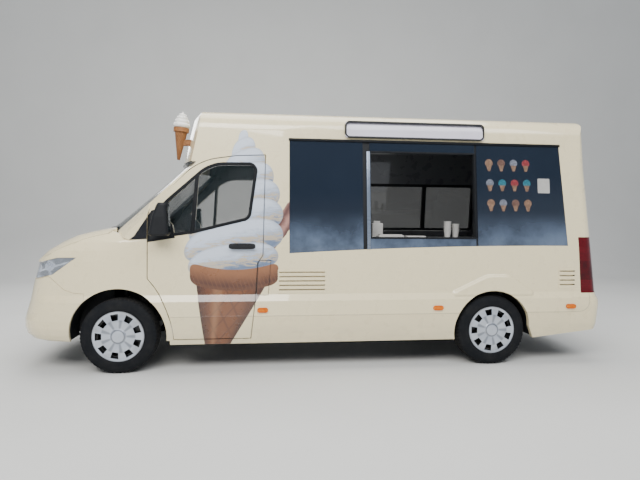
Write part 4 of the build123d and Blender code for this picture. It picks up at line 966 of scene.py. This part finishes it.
# Reflectors inside the clear covers of the headlamps: the covers' shape, drawn in
REFLECTOR_INSET = 0.006
lamp = bmesh.new()
lamp.from_mesh(nodes["headlamps"].data)
bmesh.ops.remove_doubles(lamp, verts=lamp.verts, dist=0.00005)
bmesh.ops.recalc_face_normals(lamp, faces=lamp.faces)
for v, shift in [(v, v.normal * -REFLECTOR_INSET) for v in lamp.verts]:
    v.co += shift
piece("lamp_inners", lamp, "van", "lamp_inner", 30)


def mirror_glass(hand, side):
    """Sheet laid over the rear face of a mirror's head."""
    rows = []
    bm = bmesh.new()
    for row in range(11):
        line = []
        for column in range(10):
            y, z = side * (1.035 + 0.0125 * column), 1.345 + 0.023 * row
            spot = hit("mirror_" + hand, (1.2, y, z), (1, 0, 0))
            line.append(bm.verts.new(spot + Vector((-0.0015, 0, 0))) if spot else None)
        rows.append(line)
    for a, b in zip(rows, rows[1:]):
        for k in range(len(a) - 1):
            corners = (a[k], a[k + 1], b[k + 1], b[k])
            if all(corners):
                bm.faces.new(corners)
    bmesh.ops.solidify(bm, geom=bm.faces[:], thickness=0.001)
    return bm


for hand, side in SIDES.items():
    piece("mirror_glass_" + hand, mirror_glass(hand, side), "door_" + hand, "mirror_face",
          30)
    # small repeater lamp, sunk in the outer face
    line = [hit("mirror_" + hand, (1.500, side * 1.4, z), (0, -side, 0))
            - Vector((0, side * 0.0055, 0)) for z in (1.335, 1.350, 1.365, 1.380)]
    piece("mirror_repeater_" + hand,
          tube(line, [0.006, 0.010, 0.010, 0.006], 0.5, (0, side, 0)),
          "door_" + hand, "repeater", 40)


# Height of a cushion's seam and piping as a share of its half height, and how square it is
SEAM_HEIGHT, SQUARE = 0.55, 5


def cushion(size, centre, tilt, channels, across, crown):
    """Padded form with a crowned face, sides that pull in, sewn channels and a seam line."""
    pull, corner_drop, crease, back_flat = 0.035, 0.010, 0.0030, 0.85
    channel_depth, channel_width, seam_depth, seam_width = 0.012, 0.035, 0.020, 0.10
    bm = bmesh.new()
    bmesh.ops.create_cube(bm, size=2.0)
    bmesh.ops.subdivide_edges(bm, edges=bm.edges[:], cuts=31, use_grid_fill=True)
    turn = Matrix.Rotation(math.radians(tilt), 3, "Y")
    for v in bm.verts:
        x, y, z = v.co
        spread = sum(abs(c) ** SQUARE for c in v.co) ** (1 / SQUARE)
        x, y, z = x / spread, y / spread, z / spread
        bulge = (1 - x * x) * (1 - y * y)
        px = x * size[0] * (1 - pull * (1 - y * y) * (1 - abs(z)))
        py = y * size[1] * (1 - pull * (1 - x * x) * (1 - abs(z)))
        pz = z * size[2]
        if z > 0:
            pz += crown * bulge - corner_drop * (x * x + y * y) * z
            for at in channels:
                near = ((y if across else x) - at) / channel_width
                pz -= channel_depth * math.exp(-near ** 2) * z * (0.4 + 0.6 * bulge)
            place = Vector((x * 3.1 + centre[1] * 7, y * 3.3, z * 2.0 + centre[2]))
            pz += noise.noise(place) * crease
        else:
            pz *= back_flat
        seam = 1 - seam_depth * math.exp(-((z - SEAM_HEIGHT) / seam_width) ** 2)
        v.co = turn @ Vector((px * seam, py * seam, pz)) + Vector(centre)
    return bm


def welt(size, centre, tilt, steps=96, bead=0.0045):
    """Piping that runs round a cushion's rim, sunk a little into it."""
    sunk = 0.985
    bm = bmesh.new()
    turn, up = Matrix.Rotation(math.radians(tilt), 3, "Y"), Vector((0, 0, 1))
    path = []
    for c, s in circle(steps):
        spread = sum(abs(w) ** SQUARE for w in (c, s, SEAM_HEIGHT)) ** (1 / SQUARE) / sunk
        path.append(Vector((c / spread * size[0], s / spread * size[1],
                            SEAM_HEIGHT * size[2])))
    rings = []
    for k, here in enumerate(path):
        run = (path[(k + 1) % steps] - path[k - 1]).normalized()
        out = run.cross(up).normalized()
        rings.append([bm.verts.new(turn @ (here + bead * (out * c + up * s)) + Vector(centre))
                      for c, s in circle(8)])
    for a, b in zip(rings, rings[1:] + rings[:1]):
        bridge(bm, a, b)
    return bm


# Seats: pedestals and posts, then cushions crowned and sewn in channels
PEDESTAL_X, PLATE_Z = aft(1040), 0.815
for hand, y in (("left", 0.430), ("right", -0.430)):
    base = soft_box((0.42, 0.38, 0.165), (PEDESTAL_X, y, 0.7235), 0.012)
    soft_box((0.46, 0.42, 0.02), (PEDESTAL_X, y, PLATE_Z), 0.006, 2, base)
    piece("seat_pedestal_" + hand, base, "van", "black_plastic", 40, "seats")
    posts = None
    for shift in (-0.06, 0.06):
        line = [(aft(1352), y + shift, 1.46), (aft(1368), y + shift, 1.51),
                (aft(1380), y + shift, 1.56)]
        posts = tube(line, [0.006] * 3, 1.0, (0, 1, 0), posts)
    piece("headrest_posts_" + hand, posts, "van", "channel", 40, "seats")
    # name, half sizes, centre, tilt, channels, whether they run fore and aft, crown
    for kind, size, centre, tilt, channels, across, crown in (
            ("seat_cushion_", (0.255, 0.238, 0.060), (aft(1000), y, 0.888), -1.5,
             (-0.45, 0.05, 0.50), False, 0.014),
            ("seat_back_", (0.285, 0.232, 0.058), (aft(1295), y, 1.215), 76.0,
             (-0.50, 0.0, 0.50), False, 0.014),
            ("headrest_", (0.085, 0.122, 0.036), (aft(1385), y, 1.608), 80.0, (0.0,), True,
             0.008)):
        made = piece(kind + hand, cushion(size, centre, tilt, channels, across, crown), "van",
                     "seat_cloth", 60, "seats")
        piece(kind + "piping_" + hand, welt(size, centre, tilt), "van", "seat_piping",
              60, "seats")

# Things on the serving counter: napkin box, till tray, two stacks of cups
goods = soft_box((0.115, 0.100, 0.150), (aft(2520), 0.700, 1.3605), 0.010)
soft_box((0.070, 0.020, 0.030), (aft(2520), 0.700, 1.4430), 0.004, 2, goods)
soft_box((0.100, 0.085, 0.060), (aft(2545), 0.590, 1.3155), 0.008, 3, goods)
piece("napkin_box", goods, "van", "card", 40)
tray = soft_box((0.260, 0.120, 0.028), (aft(2640), 0.800, 1.2995), 0.006)
soft_box((0.230, 0.090, 0.010), (aft(2640), 0.800, 1.3165), 0.003, 2, tray)
soft_box((0.200, 0.110, 0.022), (aft(2905), 0.790, 1.2965), 0.006, 3, tray)
piece("till_tray", tray, "van", "card", 40)

# Section of a cup from the middle of its foot round its rim and back: radius, height
CUP_SECTION = [(0.0, 0.0), (0.026, 0.0), (0.038, 0.090), (0.0405, 0.091), (0.0405, 0.095),
               (0.036, 0.094), (0.0245, 0.004), (0.0, 0.004)]
COUNTER_Z, CUP_RISE = 1.2855, 0.026
for tag, x, y, count in (("a", aft(3260), 0.760, 4), ("b", aft(3370), 0.700, 3)):
    bm = bmesh.new()
    for z in [COUNTER_Z + CUP_RISE * k for k in range(count)]:
        rings = [[bm.verts.new((x + r * c, y + r * s, z + h)) for r, h in CUP_SECTION]
                 for c, s in circle(32)]
        for a, b in zip(rings, rings[1:] + rings[:1]):
            bridge(bm, a, b, closed=False)
    bmesh.ops.remove_doubles(bm, verts=bm.verts, dist=0.00001)
    piece("cups_" + tag, bm, "van", "card", 40)


# Floor and light

def stage():
    """Pale floor that bends up into a wall behind the van."""
    half_width, wall_y, wall_top, bend, rows = 16.0, -6.0, 9.0, 3.0, 24
    bm = bmesh.new()
    path = [(12.0, 0.0), (wall_y, 0.0)]
    for k in range(1, rows + 1):
        a = math.pi / 2 * k / rows
        path.append((wall_y - bend * math.sin(a), bend * (1 - math.cos(a))))
    path.append((wall_y - bend, wall_top))
    lines = [[bm.verts.new((x, y, z)) for x in (-half_width, half_width)] for y, z in path]
    for a, b in zip(lines, lines[1:]):
        bridge(bm, a, b, closed=False)
    mesh = finish_mesh(bm, "stage_floor")
    mesh.polygons.foreach_set("use_smooth", [True] * len(mesh.polygons))
    mesh.materials.append(Paint("pale_floor", (0.62, 0.62, 0.60), rough=0.75, spec=0.2)
                          .vary(0.03, 0.8).mat)
    add_object("stage_floor", mesh)


def area_light(name, place, target, size, power, color=(1, 1, 1)):
    data = bpy.data.lights.new(name, "AREA")
    data.shape, data.size, data.size_y = "RECTANGLE", size[0], size[1]
    data.energy, data.color = power, color
    obj = add_object(name, data)
    obj.location = place
    obj.rotation_euler = (Vector(target) - Vector(place)).to_track_quat("-Z", "Y").to_euler()


stage()
area_light("key", (3.0, 8.0, 7.5), (0.0, 0.0, 1.0), (7.0, 4.0), 1080, (1.0, 0.985, 0.96))
area_light("fill", (-4.0, 7.5, 9.0), (0.0, 0.0, 1.0), (7.0, 4.0), 560, (0.94, 0.97, 1.0))
area_light("top", (0.0, -0.5, 8.5), (0.0, 0.0, 0.0), (9.0, 5.0), 520)
area_light("back", (1.0, -7.0, 5.0), (0.0, 0.0, 1.2), (8.0, 3.0), 380)

# Studio dome: bright horizon, darker bands above it and a pale top
world = bpy.data.worlds.new("studio")
bpy.context.scene.world = world
world.use_nodes = True
sky = world.node_tree
aim = sky.nodes.new("ShaderNodeTexCoord").outputs["Generated"]
aim_up = add_node(sky, "ShaderNodeSeparateXYZ", {0: aim}).outputs["Z"]
band = add_node(sky, "ShaderNodeValToRGB", {"Fac": aim_up})
stops = band.color_ramp.elements
stops[0].position, stops[0].color = 0.08, (0.95, 1.0, 1.08, 1)
stops[1].position, stops[1].color = 0.9, (0.66, 0.68, 0.72, 1)
for height, shade in ((0.17, (0.62, 0.68, 0.78, 1)), (0.26, (0.22, 0.26, 0.33, 1)),
                      (0.45, (0.30, 0.33, 0.38, 1))):
    stops.new(height).color = shade
sky.links.new(band.outputs["Color"], sky.nodes["Background"].inputs["Color"])
sky.nodes["Background"].inputs["Strength"].default_value = 0.75

# Camera at the photograph's place
LENS, SENSOR = 27.06, 36.0
YAW, PITCH, ROLL = math.radians(6.166), math.radians(2.259), math.radians(0.388)
cam_data = bpy.data.cameras.new("camera")
cam_data.lens, cam_data.sensor_width = LENS, SENSOR
cam_data.clip_start, cam_data.clip_end = 0.05, 100
cam = add_object("camera", cam_data)
look_along = Vector((-math.sin(YAW) * math.cos(PITCH), -math.cos(YAW) * math.cos(PITCH),
                     -math.sin(PITCH)))
level = look_along.to_track_quat("-Z", "Y")
cam.location = (0.565, 5.615, 1.453)
cam.rotation_mode = "QUATERNION"
cam.rotation_quaternion = level @ Matrix.Rotation(ROLL, 3, "Z").to_quaternion()
bpy.context.scene.camera = cam
